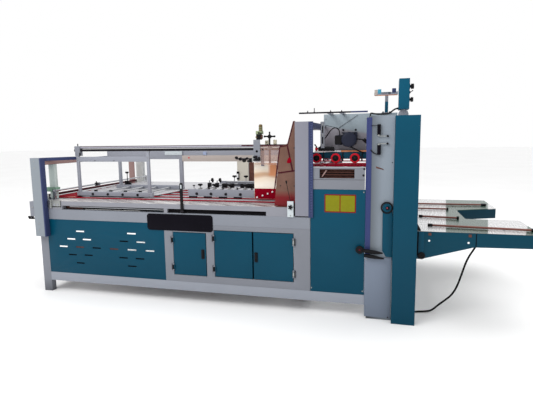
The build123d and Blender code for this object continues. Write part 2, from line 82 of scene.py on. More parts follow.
class Mat:
    def __init__(self, name):
        self.m = bpy.data.materials.new(name)
        self.m.use_nodes = True
        self.t = self.m.node_tree
        self.p = self.t.nodes["Principled BSDF"]
        self.tc = self.t.nodes.new("ShaderNodeTexCoord")

    def node(self, kind, **kw):
        n = self.t.nodes.new(kind)
        for k, v in kw.items():
            setattr(n, k, v)
        return n

    def link(self, a, b):
        self.t.links.new(a, b)

    def coords(self, scale=(1, 1, 1)):
        mp = self.node("ShaderNodeMapping")
        mp.inputs["Scale"].default_value = scale
        self.link(self.tc.outputs["Object"], mp.inputs["Vector"])
        return mp.outputs["Vector"]

    def noise(self, scale, detail=3.0, stretch=(1, 1, 1), rough=0.5):
        n = self.node("ShaderNodeTexNoise")
        n.inputs["Scale"].default_value = scale
        n.inputs["Detail"].default_value = detail
        n.inputs["Roughness"].default_value = rough
        self.link(self.coords(stretch), n.inputs["Vector"])
        return n.outputs["Fac"]

    def ramp(self, fac, stops, mode='LINEAR'):
        r = self.node("ShaderNodeValToRGB")
        r.color_ramp.interpolation = mode
        el = r.color_ramp.elements
        while len(el) < len(stops):
            el.new(0.5)
        for e, (pos, col) in zip(el, stops):
            e.position = pos
            e.color = col
        self.link(fac, r.inputs["Fac"])
        return r.outputs["Color"]

    def mix(self, fac, a, b, kind='MIX'):
        n = self.node("ShaderNodeMix", data_type='RGBA', blend_type=kind)
        if isinstance(fac, float):
            n.inputs[0].default_value = fac
        else:
            self.link(fac, n.inputs[0])
        for i, v in ((6, a), (7, b)):
            if isinstance(v, tuple):
                n.inputs[i].default_value = v
            else:
                self.link(v, n.inputs[i])
        return n.outputs[2]

    def axis(self, which, lo, hi):
        """0..1 along one axis of the object's own space, metres."""
        s = self.node("ShaderNodeSeparateXYZ")
        self.link(self.tc.outputs["Object"], s.inputs[0])
        r = self.node("ShaderNodeMapRange")
        r.inputs["From Min"].default_value = lo
        r.inputs["From Max"].default_value = hi
        self.link(s.outputs[which], r.inputs["Value"])
        return r.outputs["Result"]

    def bump(self, height, strength, distance=0.001):
        b = self.node("ShaderNodeBump")
        b.inputs["Strength"].default_value = strength
        b.inputs["Distance"].default_value = distance
        self.link(height, b.inputs["Height"])
        self.link(b.outputs["Normal"], self.p.inputs["Normal"])

    def rough(self, fac, lo, hi):
        r = self.node("ShaderNodeMapRange")
        r.inputs["To Min"].default_value = lo
        r.inputs["To Max"].default_value = hi
        self.link(fac, r.inputs["Value"])
        self.link(r.outputs["Result"], self.p.inputs["Roughness"])

    def color(self, sock):
        if isinstance(sock, tuple):
            self.p.inputs["Base Color"].default_value = sock
        else:
            self.link(sock, self.p.inputs["Base Color"])


def paint(name, rgb, lo=0.3, hi=0.45, var=0.05, grads=(), spec=0.2):
    """Sprayed enamel: slight cloudiness, orange peel, rubbed spots. grads are
    (axis, from, to, [(place 0..1, factor), ...]) along the object's own axes;
    several materials use them for painted light and shade."""
    m = Mat(name)
    c = srgb(*rgb)
    col = m.ramp(m.noise(2.2, 4.0), [(0.3, shade(c, 1 - var)), (0.72, shade(c, 1 + var))])
    fine = m.noise(60.0, 4.0)
    col = m.mix(m.ramp(fine, [(0.62, (0, 0, 0, 1)), (0.78, (0.08, 0.08, 0.08, 1))]), col, shade(c, 1.5))
    for ax, a, b, stops in grads:
        g = m.ramp(m.axis(ax, a, b), [(t, (k / 2, k / 2, k / 2, 1)) for t, k in stops])
        col = m.mix(1.0, m.mix(1.0, col, g, 'MULTIPLY'), (2.0, 2.0, 2.0, 1.0), 'MULTIPLY')
    m.color(col)
    m.rough(m.noise(5.0, 3.0), lo, hi)
    m.bump(m.noise(420.0, 2.0), 0.05, 0.0006)
    m.p.inputs["Specular IOR Level"].default_value = spec
    return m.m


def metal(name, rgb, lo=0.18, hi=0.34, stretch=(3, 60, 60), metallic=1.0, var=0.08):
    m = Mat(name)
    c = srgb(*rgb)
    streak = m.noise(6.0, 5.0, stretch)
    m.color(m.ramp(streak, [(0.25, shade(c, 1 - var)), (0.75, shade(c, 1 + var))]))
    m.rough(streak, lo, hi)
    m.bump(m.noise(40.0, 3.0, stretch), 0.04, 0.0005)
    m.p.inputs["Metallic"].default_value = metallic
    return m.m


def plastic(name, rgb, lo=0.35, hi=0.55, var=0.12, grain=300.0, strength=0.12, spec=0.12):
    m = Mat(name)
    c = srgb(*rgb)
    m.color(m.ramp(m.noise(30.0, 4.0), [(0.3, shade(c, 1 - var)), (0.75, shade(c, 1 + var))]))
    m.rough(m.noise(18.0, 3.0), lo, hi)
    m.bump(m.noise(grain, 3.0), strength, 0.0008)
    m.p.inputs["Specular IOR Level"].default_value = spec
    return m.m


# painted shade near the floor: darker over the lowest 120 mm
LOW_PAINTED_SHADE = ("Z", 0.0, 0.12, [(0.0, 0.50), (1.0, 1.0)])
GREY = paint("grey_enamel", (127, 130, 139), var=0.03, grads=(LOW_PAINTED_SHADE,))
GREY_RAIL = paint("grey_enamel_rail", (127, 131, 140), var=0.03, grads=(("Z", 0.18, 0.4, [(0.0, 1.18), (1.0, 1.0)]),))
GREY_FRAME = paint("grey_enamel_frame", (119, 122, 130), var=0.03, grads=(LOW_PAINTED_SHADE,))
# painted shade and reflection: much darker at the left edge beside the blue strip, where the recessed face lies in
# shade and mirrors the dark machine side; a little lighter towards the top as painted light, darker at the foot as
# painted shade
GREY_COL_PAINTED_SHADE = paint("grey_enamel_column_painted_shade", (132, 141, 151), var=0.03,
                 grads=(("X", 1.006, 1.206, [(0.0, 0.32), (0.22, 0.56), (0.55, 0.95), (1.0, 1.22)]),
                        ("Z", 0.9, 1.65, [(0.0, 1.0), (1.0, 1.05)]), LOW_PAINTED_SHADE))
GREY_LIGHT = paint("grey_enamel_light", (142, 145, 155), var=0.03)
GREY_BEAM = paint("grey_enamel_beam", (134, 135, 143), var=0.03)


def portal_mat():
    """Portal uprights: cool grey at the infeed, lavender grey in the middle,
    near white on the far side."""
    m = Mat("grey_enamel_portal")
    cool, lav, far = srgb(131, 138, 145), srgb(126, 127, 138), srgb(206, 208, 206)
    cloud = m.noise(2.2, 4.0)

    def tone(c):
        return m.ramp(cloud, [(0.3, shade(c, 0.97)), (0.72, shade(c, 1.03))])
    col = m.mix(m.axis("Y", 0.90, 0.95), tone(cool), tone(far))
    col = m.mix(m.axis("X", -1.0, -0.9), col, tone(lav))
    m.color(col)
    m.rough(m.noise(5.0, 3.0), 0.3, 0.45)
    m.bump(m.noise(420.0, 2.0), 0.05, 0.0006)
    m.p.inputs["Specular IOR Level"].default_value = 0.2
    return m.m


GREY_PORTAL = portal_mat()
PALE_MINT = paint("pale_mint_enamel", (186, 198, 194), var=0.03)
TRUNK_IN = paint("blue_enamel_light", (92, 102, 146), var=0.05)
PALE_BLUE = paint("pale_blue_enamel", (150, 162, 190), var=0.05)
SHEET_PALE = paint("pale_sheet", (170, 170, 174), lo=0.3, hi=0.5, var=0.05)
GREY_COVER = paint("grey_enamel_cover", (112, 122, 138), var=0.03, grads=(("Z", 0.0, 0.55, [(0.0, 0.80), (1.0, 1.05)]),))
PALE = paint("pale_enamel", (190, 198, 202), var=0.03)


def wall_mat():
    """Pale wall: lighter above a slanting fold, warm grey below it; the two tones are painted light and painted shade
    of the folded sheet, and the low part darkens further towards its bottom edge as painted shade.
    """
    m = Mat("wall_enamel_painted_shade")
    sh = m.node("ShaderNodeSeparateXYZ")
    m.link(m.tc.outputs["Object"], sh.inputs[0])
    k = m.node("ShaderNodeMath", operation='MULTIPLY_ADD')
    m.link(sh.outputs["X"], k.inputs[0])
    k.inputs[1].default_value = 0.184
    m.link(sh.outputs["Z"], k.inputs[2])
    r = m.node("ShaderNodeMapRange")
    r.inputs["From Min"].default_value = 1.705
    r.inputs["From Max"].default_value = 1.725
    m.link(k.outputs[0], r.inputs["Value"])
    light, warm = srgb(146, 158, 166), srgb(144, 141, 149)
    cloud = m.noise(2.2, 4.0)
    up = m.ramp(cloud, [(0.3, shade(light, 0.97)), (0.72, shade(light, 1.03))])
    # painted shade: the warm grey below the fold, darker towards the low edge
    low = m.ramp(m.axis("Z", 1.39, 1.50), [(0.0, shade(warm, 0.72)), (1.0, warm)])
    m.color(m.mix(r.outputs["Result"], low, up))
    m.rough(m.noise(5.0, 3.0), 0.3, 0.45)
    m.bump(m.noise(420.0, 2.0), 0.05, 0.0006)
    m.p.inputs["Specular IOR Level"].default_value = 0.2
    return m.m


WALL_PAINTED_SHADE = wall_mat()
# painted light and shade: darker low down, lighter towards the top where the light falls
TEAL = paint("teal_enamel", (3, 66, 88), lo=0.26, hi=0.4, var=0.05, spec=0.12,
             grads=(("Z", 0.1, 1.9, [(0.0, 0.82), (0.45, 1.0), (1.0, 1.35)]),))
# painted light and shade: the column darker low down, lighter towards the top where the light falls
TEAL_COL = paint("teal_enamel_column", (3, 66, 88), lo=0.26, hi=0.4, var=0.05, spec=0.12,
                 grads=(("Z", 0.0, 1.9, [(0.0, 0.72), (0.42, 0.9), (0.79, 1.05), (1.0, 1.35)]),))
TEAL_FORK = paint("teal_enamel_outfeed", (3, 58, 76), lo=0.26, hi=0.4, var=0.05, spec=0.12,
                  grads=(("Y", -0.96, -0.3, [(0.0, 1.0), (1.0, 0.62)]),))
NAVY = paint("navy_enamel", (54, 62, 96), var=0.07, spec=0.12)
BLUE = paint("blue_enamel", (54, 62, 106), var=0.07, spec=0.12)
BEIGE = paint("beige_enamel", (176, 166, 160), var=0.04)
MINT = paint("mint_enamel", (120, 152, 132), var=0.05)
BLACK = plastic("black_moulded", (17, 16, 19))
BLACK_PAINT = paint("black_enamel", (12, 10, 18), lo=0.3, hi=0.45, var=0.2, spec=0.05)
MOTOR = paint("motor_enamel", (34, 37, 53), lo=0.35, hi=0.5, var=0.15, spec=0.12)
DARK = plastic("dark_inside", (10, 9, 11), lo=0.7, hi=0.9, spec=0.05)
DARK_STEEL = metal("blackened_steel", (44, 42, 46), lo=0.4, hi=0.6, stretch=(20, 20, 20))
STEEL = metal("brushed_steel", (168, 170, 175), lo=0.22, hi=0.38, stretch=(2, 50, 50))
STEEL_Y = metal("drawn_steel", (182, 184, 188), lo=0.16, hi=0.3, stretch=(50, 2, 50))
CHROME = metal("chrome", (176, 178, 184), lo=0.08, hi=0.16, stretch=(2, 40, 40), var=0.05)
ZINC = metal("zinc_plate", (156, 158, 156), lo=0.3, hi=0.5, stretch=(12, 12, 12))
CRIMSON = plastic("crimson_belt", (132, 2, 26), lo=0.55, hi=0.75, var=0.10, grain=700.0, strength=0.2, spec=0.03)
RED_PU = plastic("red_polyurethane", (200, 20, 40), lo=0.28, hi=0.42, var=0.06, grain=260.0, strength=0.06)
PINK = plastic("pale_red_belt", (206, 84, 102), lo=0.4, hi=0.6, var=0.08)
MAROON = plastic("maroon_bar", (66, 14, 26), lo=0.3, hi=0.45)
ROD = plastic("round_belt", (118, 76, 68), lo=0.25, hi=0.4, var=0.10, grain=200.0, strength=0.05)
CABLE = plastic("cable_jacket", (13, 13, 15), lo=0.45, hi=0.6, grain=500.0, strength=0.08)
OLIVE = plastic("olive_casting", (138, 150, 118), lo=0.4, hi=0.6, grain=160.0, strength=0.25)
BRASS = metal("aged_brass", (104, 88, 62), lo=0.35, hi=0.5, stretch=(10, 10, 10))
BEIGE_PL = plastic("beige_block", (204, 198, 176), lo=0.4, hi=0.55)
BROWN = plastic("brown_inside", (92, 58, 50), lo=0.5, hi=0.7, var=0.3)
PINK_BROWN = paint("warm_grey_enamel", (150, 122, 118), var=0.06)
ORANGE = plastic("orange_strip", (216, 142, 98), lo=0.35, hi=0.5)
LABEL_Y = plastic("label_yellow", (122, 122, 18), lo=0.3, hi=0.4, var=0.05, grain=90.0, strength=0.02)
LABEL_R = plastic("label_red", (122, 22, 18), lo=0.3, hi=0.4, var=0.06, grain=90.0, strength=0.02)
WHITE_PL = plastic("white_roller", (236, 236, 236), lo=0.3, hi=0.45, var=0.02)
SKY = plastic("light_blue_block", (66, 146, 174), lo=0.3, hi=0.45)
SPECKLE = paint("cream_speckled", (196, 190, 178), var=0.10)


def sheet_clear(name, rgb, alpha, rough=0.08, var=0.12):
    m = Mat(name)
    c = srgb(*rgb)
    m.color(m.ramp(m.noise(26.0, 6.0, rough=0.7), [(0.3, shade(c, 1 - var)), (0.7, shade(c, 1 + var))]))
    m.p.inputs["Roughness"].default_value = rough
    m.p.inputs["Alpha"].default_value = alpha
    m.p.inputs["Specular IOR Level"].default_value = 0.15
    m.bump(m.noise(9.0, 2.0), 0.03, 0.002)
    return m.m


CLEAR = sheet_clear("clear_acrylic", (190, 156, 144), 0.28)
RED_CLEAR = sheet_clear("red_acrylic", (140, 28, 32), 0.85)


def end_acrylic():
    """Tinted sheet, red-brown along the low edge as a painted reflection of the belts' colour."""
    m = Mat("bronze_acrylic")
    c, low = srgb(112, 82, 71), srgb(116, 26, 32)
    cloud = m.ramp(m.noise(9.0, 6.0, rough=0.7), [(0.3, shade(c, 0.85)), (0.7, shade(c, 1.15))])
    # painted reflection: red-brown band at the low edge
    m.color(m.mix(m.ramp(m.axis("Z", 1.0, 1.06), [(0.0, (0, 0, 0, 1)), (1.0, (1, 1, 1, 1))]), low, cloud))
    m.p.inputs["Roughness"].default_value = 0.1
    m.p.inputs["Alpha"].default_value = 0.93
    m.p.inputs["Specular IOR Level"].default_value = 0.15
    m.bump(m.noise(9.0, 2.0), 0.03, 0.002)
    return m.m


ACRYLIC = end_acrylic()


def deck_metal():
    """Polished sheet with pale green patches on each arm, painted reflections of a green surface in its mirror finish.
    """
    m = Mat("polished_deck_painted_reflection")
    c = srgb(206, 206, 207)
    streak = m.noise(5.0, 5.0, (60, 2, 60))
    base = m.ramp(streak, [(0.25, shade(c, 0.90)), (0.75, shade(c, 1.06))])
    s = m.node("ShaderNodeSeparateXYZ")
    m.link(m.tc.outputs["Object"], s.inputs[0])

    def step(sock, lo, hi):
        r = m.node("ShaderNodeMapRange")
        r.inputs["From Min"].default_value = lo
        r.inputs["From Max"].default_value = hi
        m.link(sock, r.inputs["Value"])
        return r.outputs["Result"]

    def mul(a, b):
        n = m.node("ShaderNodeMath", operation='MULTIPLY')
        m.link(a, n.inputs[0])
        m.link(b, n.inputs[1])
        return n.outputs[0]

    def slant(k):
        """x shifted in step with the depth, for edges that run obliquely."""
        n = m.node("ShaderNodeMath", operation='MULTIPLY_ADD')
        m.link(s.outputs["Y"], n.inputs[0])
        n.inputs[1].default_value = -k
        m.link(s.outputs["X"], n.inputs[2])
        return n.outputs[0]

    # painted reflection: the green patches, with oblique edges
    p1 = mul(step(slant(0.1155), 1.714, 1.722), step(slant(0.194), 2.099, 2.091))
    p2 = step(slant(0.302), 2.453, 2.461)
    mint = srgb(58, 82, 72)
    m.color(m.mix(p2, m.mix(p1, base, mint), mint))
    m.rough(streak, 0.2, 0.34)
    m.bump(m.noise(30.0, 3.0, (60, 2, 60)), 0.03, 0.0005)
    m.p.inputs["Metallic"].default_value = 0.45
    m.p.inputs["Specular IOR Level"].default_value = 0.3
    return m.m


def tray_mat():
    """Warm polished tray: near white with soft brown waves, an orange patch
    high on the right."""
    m = Mat("cream_tray")
    w = m.node("ShaderNodeTexWave", wave_type='BANDS', bands_direction='Z')
    w.inputs["Scale"].default_value = 2.2
    w.inputs["Distortion"].default_value = 5.0
    w.inputs["Detail"].default_value = 2.0
    m.link(m.coords((0.8, 1, 1)), w.inputs["Vector"])
    base = m.ramp(w.outputs["Fac"], [(0.0, srgb(206, 170, 140)), (0.22, srgb(240, 222, 200)), (1.0, srgb(252, 244, 230))])
    x = m.axis("X", 0.085, 0.115)
    z = m.axis("Z", 1.15, 1.17)
    a = m.node("ShaderNodeMath", operation='MULTIPLY')
    m.link(x, a.inputs[0])
    m.link(z, a.inputs[1])
    col = m.mix(a.outputs[0], base, srgb(214, 146, 104))
    m.color(col)
    m.p.inputs["Roughness"].default_value = 0.26
    m.p.inputs["Specular IOR Level"].default_value = 0.15
    m.bump(m.noise(8.0, 3.0), 0.06, 0.004)
    return m.m


def apron_metal():
    """Polished edge sheet with slanting bright and dark streaks, painted highlights and painted reflections."""
    m = Mat("polished_apron_painted_highlights")
    sh = m.node("ShaderNodeSeparateXYZ")
    m.link(m.tc.outputs["Object"], sh.inputs[0])
    k = m.node("ShaderNodeMath", operation='MULTIPLY_ADD')
    m.link(sh.outputs["Y"], k.inputs[0])
    k.inputs[1].default_value = 1.6
    m.link(sh.outputs["X"], k.inputs[2])
    cmb = m.node("ShaderNodeCombineXYZ")
    m.link(k.outputs[0], cmb.inputs["X"])
    n = m.node("ShaderNodeTexNoise")
    n.inputs["Scale"].default_value = 9.0
    n.inputs["Detail"].default_value = 3.0
    m.link(cmb.outputs[0], n.inputs["Vector"])
    streak = n.outputs["Fac"]
    # painted highlights in the bright streaks, painted reflections in the dark ones
    m.color(m.ramp(streak, [(0.34, srgb(122, 114, 114)), (0.46, srgb(166, 162, 162)), (0.60, srgb(190, 188, 188)), (0.70, srgb(232, 232, 232))]))
    m.rough(m.noise(3.0, 4.0, (3.2, 1.4, 1)), 0.2, 0.34)
    m.bump(m.noise(30.0, 3.0, (3, 60, 60)), 0.03, 0.0005)
    m.p.inputs["Metallic"].default_value = 0.3
    m.p.inputs["Specular IOR Level"].default_value = 0.2
    return m.m


def rail_metal():
    """Round rail over a flat bar: grey polished rod with a dark line along its
    top, a painted reflection, near black below."""
    m = Mat("guide_rail")
    z = m.axis("Z", 1.396, 1.450)
    streak = m.noise(6.0, 5.0, (3, 60, 60))
    # painted reflection: the dark line along the rod's top
    m.color(m.ramp(z, [(0.0, srgb(26, 24, 28)), (0.47, srgb(30, 28, 32)), (0.53, srgb(146, 144, 156)),
                       (0.70, srgb(160, 158, 170)), (0.84, srgb(150, 148, 158)), (0.88, srgb(54, 34, 42))]))
    m.rough(streak, 0.3, 0.42)
    m.bump(m.noise(40.0, 3.0, (3, 60, 60)), 0.02, 0.0003)
    m.p.inputs["Metallic"].default_value = 0.3
    m.p.inputs["Specular IOR Level"].default_value = 0.15
    return m.m


DECK_PAINTED_REFLECTION = deck_metal()
TRAY = tray_mat()
APRON_PAINTED_HIGHLIGHTS = apron_metal()
RAIL = rail_metal()


# ---- mesh helpers -------------------------------------------------------
def finish_mesh(bm, angle=32.0):
    bm.normal_update()
    for f in bm.faces:
        f.smooth = True
    for e in bm.edges:
        if len(e.link_faces) == 2:
            e.smooth = e.calc_face_angle(0.0) < radians(angle)


class Piece:
    """One mesh piece put together from bevelled solids, in machine mm."""

    def __init__(self, name):
        self.name = name
        self.bm = bmesh.new()
        self.mats = []

    def slot(self, mat):
        if mat not in self.mats:
            self.mats.append(mat)
        return self.mats.index(mat)

    def take(self, tmp, mat, bevel=0.0, seg=2, angle=30.0, matrix=None):
        bmesh.ops.recalc_face_normals(tmp, faces=tmp.faces)
        if bevel > 0:
            tmp.normal_update()
            es = [e for e in tmp.edges if len(e.link_faces) == 2 and e.calc_face_angle(0.0) > radians(angle)]
            if es:
                bmesh.ops.bevel(tmp, geom=es, offset=bevel / 1000.0, offset_type='OFFSET', segments=seg,
                                profile=0.6, affect='EDGES', clamp_overlap=True)
        if matrix is not None:
            bmesh.ops.transform(tmp, matrix=matrix, verts=tmp.verts)
        finish_mesh(tmp)
        i = self.slot(mat)
        for f in tmp.faces:
            f.material_index = i
        me = bpy.data.meshes.new("tmp")
        tmp.to_mesh(me)
        tmp.free()
        self.bm.from_mesh(me)
        bpy.data.meshes.remove(me)
        return self

    def box(self, x0, x1, y0, y1, z0, z1, mat, bevel=1.5, seg=2, matrix=None):
        tmp = bmesh.new()
        a, b = q(x0, y0, z0), q(x1, y1, z1)
        c = (a + b) / 2
        bmesh.ops.create_cube(tmp, size=1.0, matrix=Matrix.Translation(c) @ Matrix.Diagonal((*(b - a), 1)))
        return self.take(tmp, mat, bevel, seg, matrix=matrix)

    def mirror_box(self, x0, x1, y0, y1, z0, z1, mat, bevel=1.5):
        self.box(x0, x1, y0, y1, z0, z1, mat, bevel)
        return self.box(x0, x1, DEPTH - y1, DEPTH - y0, z0, z1, mat, bevel)

    def turn(self, base, direction, profile, mat, n=28):
        """A turned solid: profile of (radius, height) in mm along direction from base."""
        tmp = bmesh.new()
        rot = Vector((0, 0, 1)).rotation_difference(Vector(direction).normalized()).to_matrix().to_4x4()
        m = Matrix.Translation(q(*base)) @ rot
        rings = []
        for r, h in profile:
            if r < 1e-6:
                rings.append([tmp.verts.new(m @ Vector((0, 0, h / 1000)))])
            else:
                rings.append([tmp.verts.new(m @ Vector((r * cos(2 * pi * k / n) / 1000, r * sin(2 * pi * k / n) / 1000, h / 1000)))
                              for k in range(n)])
        for a, b in zip(rings, rings[1:]):
            if len(a) == 1 and len(b) == 1:
                continue
            for k in range(n):
                k2 = (k + 1) % n
                if len(a) == 1:
                    tmp.faces.new((a[0], b[k], b[k2]))
                elif len(b) == 1:
                    tmp.faces.new((a[k], b[0], a[k2]))
                else:
                    tmp.faces.new((a[k], b[k], b[k2], a[k2]))
        return self.take(tmp, mat)

    def rod(self, p0, p1, r, mat, ch=1.0, n=24):
        v = Vector(p1) - Vector(p0)
        h = v.length
        return self.turn(p0, v, [(0, 0), (r - ch, 0), (r, ch), (r, h - ch), (r - ch, h), (0, h)], mat, n)

    def hex(self, base, direction, size, h, mat, washer=True):
        """Hexagon head with its washer; size is across flats."""
        d = Vector(direction).normalized()
        base = Vector(base)
        if washer:
            self.turn(base, d, [(0, 0), (size * 0.95, 0), (size * 1.0, 0.4), (size * 1.0, 1.6), (size * 0.92, 2.0), (0, 2.0)], mat, 20)
            base = base + d * 2.0
        R_ = size / 2 / cos(pi / 6)
        self.turn(base, d, [(0, 0), (R_, 0), (R_, h - 1.2), (R_ * 0.86, h), (0, h)], mat, 6)
        return self

    def poly(self, pts, y0, y1, mat, bevel=1.2, holes=()):
        """Prism of an (x, z) outline between two depths."""
        tmp = bmesh.new()
        lo = [tmp.verts.new(q(x, y0, z)) for x, z in pts]
        hi = [tmp.verts.new(q(x, y1, z)) for x, z in pts]
        tmp.faces.new(lo)
        tmp.faces.new(list(reversed(hi)))
        n = len(pts)
        for k in range(n):
            tmp.faces.new((lo[k], hi[k], hi[(k + 1) % n], lo[(k + 1) % n]))
        return self.take(tmp, mat, bevel)

    def poly_z(self, pts, z0, z1, mat, bevel=1.2):
        """Prism of an (x, y) outline between two heights."""
        tmp = bmesh.new()
        lo = [tmp.verts.new(q(x, y, z0)) for x, y in pts]
        hi = [tmp.verts.new(q(x, y, z1)) for x, y in pts]
        tmp.faces.new(list(reversed(lo)))
        tmp.faces.new(hi)
        n = len(pts)
        for k in range(n):
            tmp.faces.new((lo[k], lo[(k + 1) % n], hi[(k + 1) % n], hi[k]))
        return self.take(tmp, mat, bevel)

    def star(self, base, direction, r, h, mat, lobes=5, stem=0.0, stem_mat=None, stem_r=4.0):
        """Star grip: a lobed head on its stud. base is the foot of the stud."""
        d = Vector(direction).normalized()
        base = Vector(base)
        if stem > 0:
            self.rod(base, base + d * (stem + 2), stem_r, stem_mat or mat, 0.5, 12)
        top = base + d * stem
        self.turn(top, d, [(0, 0), (r * 0.42, 0), (r * 0.46, h * 0.35), (r * 0.4, h * 0.4), (0, h * 0.4)], mat, 16)
        rot = Vector((0, 0, 1)).rotation_difference(d).to_matrix().to_4x4()
        tmp = bmesh.new()
        n = lobes * 8
        rings = []
        for zz, k in ((0.30, 0.86), (0.38, 1.0), (0.86, 1.0), (1.0, 0.8)):
            ring = []
            for i in range(n):
                a = 2 * pi * i / n
                rr = r * k * (0.80 + 0.20 * cos(lobes * a))
                ring.append(tmp.verts.new(Vector((rr * cos(a) / 1000, rr * sin(a) / 1000, zz * h / 1000))))
            rings.append(ring)
        for a, b in zip(rings, rings[1:]):
            for i in range(n):
                tmp.faces.new((a[i], a[(i + 1) % n], b[(i + 1) % n], b[i]))
        tmp.faces.new(list(reversed(rings[0])))
        tmp.faces.new(rings[-1])
        return self.take(tmp, mat, matrix=Matrix.Translation(q(*top)) @ rot)

    def tube(self, pts, r, mat, n=12, steps=6):
        """A short bent pipe through the given points, rounded by a spline."""
        P_ = [Vector(p) for p in pts]
        path = []
        ext = [P_[0] * 2 - P_[1]] + P_ + [P_[-1] * 2 - P_[-2]]
        for a, b, c, d in zip(ext, ext[1:], ext[2:], ext[3:]):
            for s in range(steps):
                t = s / steps
                path.append(0.5 * ((2 * b) + (c - a) * t + (2 * a - 5 * b + 4 * c - d) * t * t + (3 * b - a - 3 * c + d) * t ** 3))
        path.append(P_[-1])
        tmp = bmesh.new()
        rings = []
        up = Vector((0.13, 0.37, 0.92))
        for i, p in enumerate(path):
            t = (path[min(i + 1, len(path) - 1)] - path[max(i - 1, 0)]).normalized()
            u = t.cross(up)
            if u.length < 1e-3:
                u = t.cross(Vector((1, 0, 0)))
            u.normalize()
            v = t.cross(u)
            rings.append([tmp.verts.new(q(*(p + (u * cos(2 * pi * k / n) + v * sin(2 * pi * k / n)) * r))) for k in range(n)])
        for a, b in zip(rings, rings[1:]):
            for k in range(n):
                tmp.faces.new((a[k], a[(k + 1) % n], b[(k + 1) % n], b[k]))
        tmp.faces.new(rings[0])
        tmp.faces.new(list(reversed(rings[-1])))
        return self.take(tmp, mat)

    def done(self, body="frame", replaces=()):
        me = bpy.data.meshes.new(self.name)
        self.bm.to_mesh(me)
        self.bm.free()
        for m in self.mats:
            me.materials.append(m)
        ob = bpy.data.objects.new(self.name, me)
        scene.collection.objects.link(ob)
        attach(ob, body)
        if replaces:
            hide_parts(*replaces)
        return ob


BODY_OF = {n: b for b, ns in frame["record"]["behaviour"]["bodies"].items() for n in ns}


def soften(node, mat, width=1.5, seg=2, angle=40.0):
    """The same shape as a CAD node with its edges broken, in place of it."""
    src = frame["nodes"][node]
    bm = bmesh.new()
    bm.from_mesh(src.data)
    bmesh.ops.remove_doubles(bm, verts=bm.verts, dist=2e-6)
    bmesh.ops.dissolve_limit(bm, angle_limit=radians(0.5), verts=bm.verts, edges=bm.edges)
    bm.normal_update()
    es = [e for e in bm.edges if len(e.link_faces) == 2 and e.calc_face_angle(0.0) > radians(angle)]
    bmesh.ops.bevel(bm, geom=es, offset=width / 1000, offset_type='OFFSET', segments=seg, profile=0.6,
                    affect='EDGES', clamp_overlap=True)
    finish_mesh(bm)
    for f in bm.faces:
        f.material_index = 0
    me = bpy.data.meshes.new(node + "_finish")
    bm.to_mesh(me)
    bm.free()
    me.materials.append(mat)
    ob = bpy.data.objects.new(node + "_finish", me)
    scene.collection.objects.link(ob)
    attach(ob, BODY_OF[node])
    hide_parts(node)
    return ob


def dress(node, mat):
    """A CAD node kept as it is, with a finished material."""
    me = frame["nodes"][node].data
    me.materials.clear()
    me.materials.append(mat)


# ---- cords --------------------------------------------------------------
def cord(name, node, points, diameter):
    cu = bpy.data.curves.new(name, 'CURVE')
    cu.dimensions = '3D'
    cu.bevel_depth = diameter / 2000
    cu.bevel_resolution = 4
    cu.resolution_u = 12
    cu.use_fill_caps = True
    sp = cu.splines.new('NURBS')
    sp.points.add(len(points) - 1)
    for p, c in zip(sp.points, points):
        p.co = (*q(*c), 1.0)
    sp.order_u = 3
    sp.use_endpoint_u = True
    cu.materials.append(CABLE)
    ob = bpy.data.objects.new(name, cu)
    scene.collection.objects.link(ob)
    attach(ob, "frame")
    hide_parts(node)
    return ob


OUTFEED_CABLE = ((4106, 300, 700), (4106, 300, 638), (4060, 300, 562), (4012, 298, 474),
                 (3978, 292, 360), (3946, 284, 250), (3905, 276, 166), (3850, 268, 116),
                 (3794, 260, 70), (3740, 252, 18), (3690, 244, 9.5), (3630, 230, 9),
                 (3562, 202, 9), (3505, 158, 14), (3492, 112, 32), (3492, 76, 32))
MOTOR_CABLE = ((2953, 190, 1521), (2953, 190, 1545), (2944, 189, 1572), (2914, 187, 1587),
               (2880, 183, 1568), (2853, 179, 1528), (2825, 174, 1490), (2797, 162, 1458),
               (2797, 162, 1425))
CONTROL_CONDUIT = ((3208, 250, 1640), (3208, 222, 1640), (3207, 190, 1654), (3206, 158, 1672),
                   (3206, 126, 1686), (3210, 96, 1692), (3222, 70, 1690), (3244, 52, 1684),
                   (3274, 38, 1680), (3308, 26, 1679), (3344, 18, 1680), (3364, 16, 1690),
                   (3380, 15, 1704), (3395, 14, 1714), (3408, 14, 1718.5), (3421, 14, 1718.5))
cord("outfeed_cable_line", "outfeed_cable", OUTFEED_CABLE, 16)
cord("motor_cable_line", "motor_cable", MOTOR_CABLE, 9)
cord("control_conduit_line", "control_conduit", CONTROL_CONDUIT, 12)

# ---- stage and light ----------------------------------------------------
me = bpy.data.meshes.new("floor")
bm = bmesh.new()
bmesh.ops.create_grid(bm, x_segments=1, y_segments=1, size=60)
bm.to_mesh(me)
bm.free()
floor = bpy.data.objects.new("floor", me)
scene.collection.objects.link(floor)
fm = Mat("studio_floor")
fm.color(fm.ramp(fm.noise(0.6, 3.0), [(0.3, (0.93, 0.93, 0.93, 1)), (0.7, (0.96, 0.96, 0.96, 1))]))
fm.p.inputs["Roughness"].default_value = 0.8
fm.p.inputs["Specular IOR Level"].default_value = 0.1
me.materials.append(fm.m)

world = bpy.data.worlds.new("studio")
scene.world = world
world.use_nodes = True
world.node_tree.nodes["Background"].inputs["Color"].default_value = (1, 1, 1, 1)
world.node_tree.nodes["Background"].inputs["Strength"].default_value = 1.0
scene.view_settings.view_transform = 'Standard'


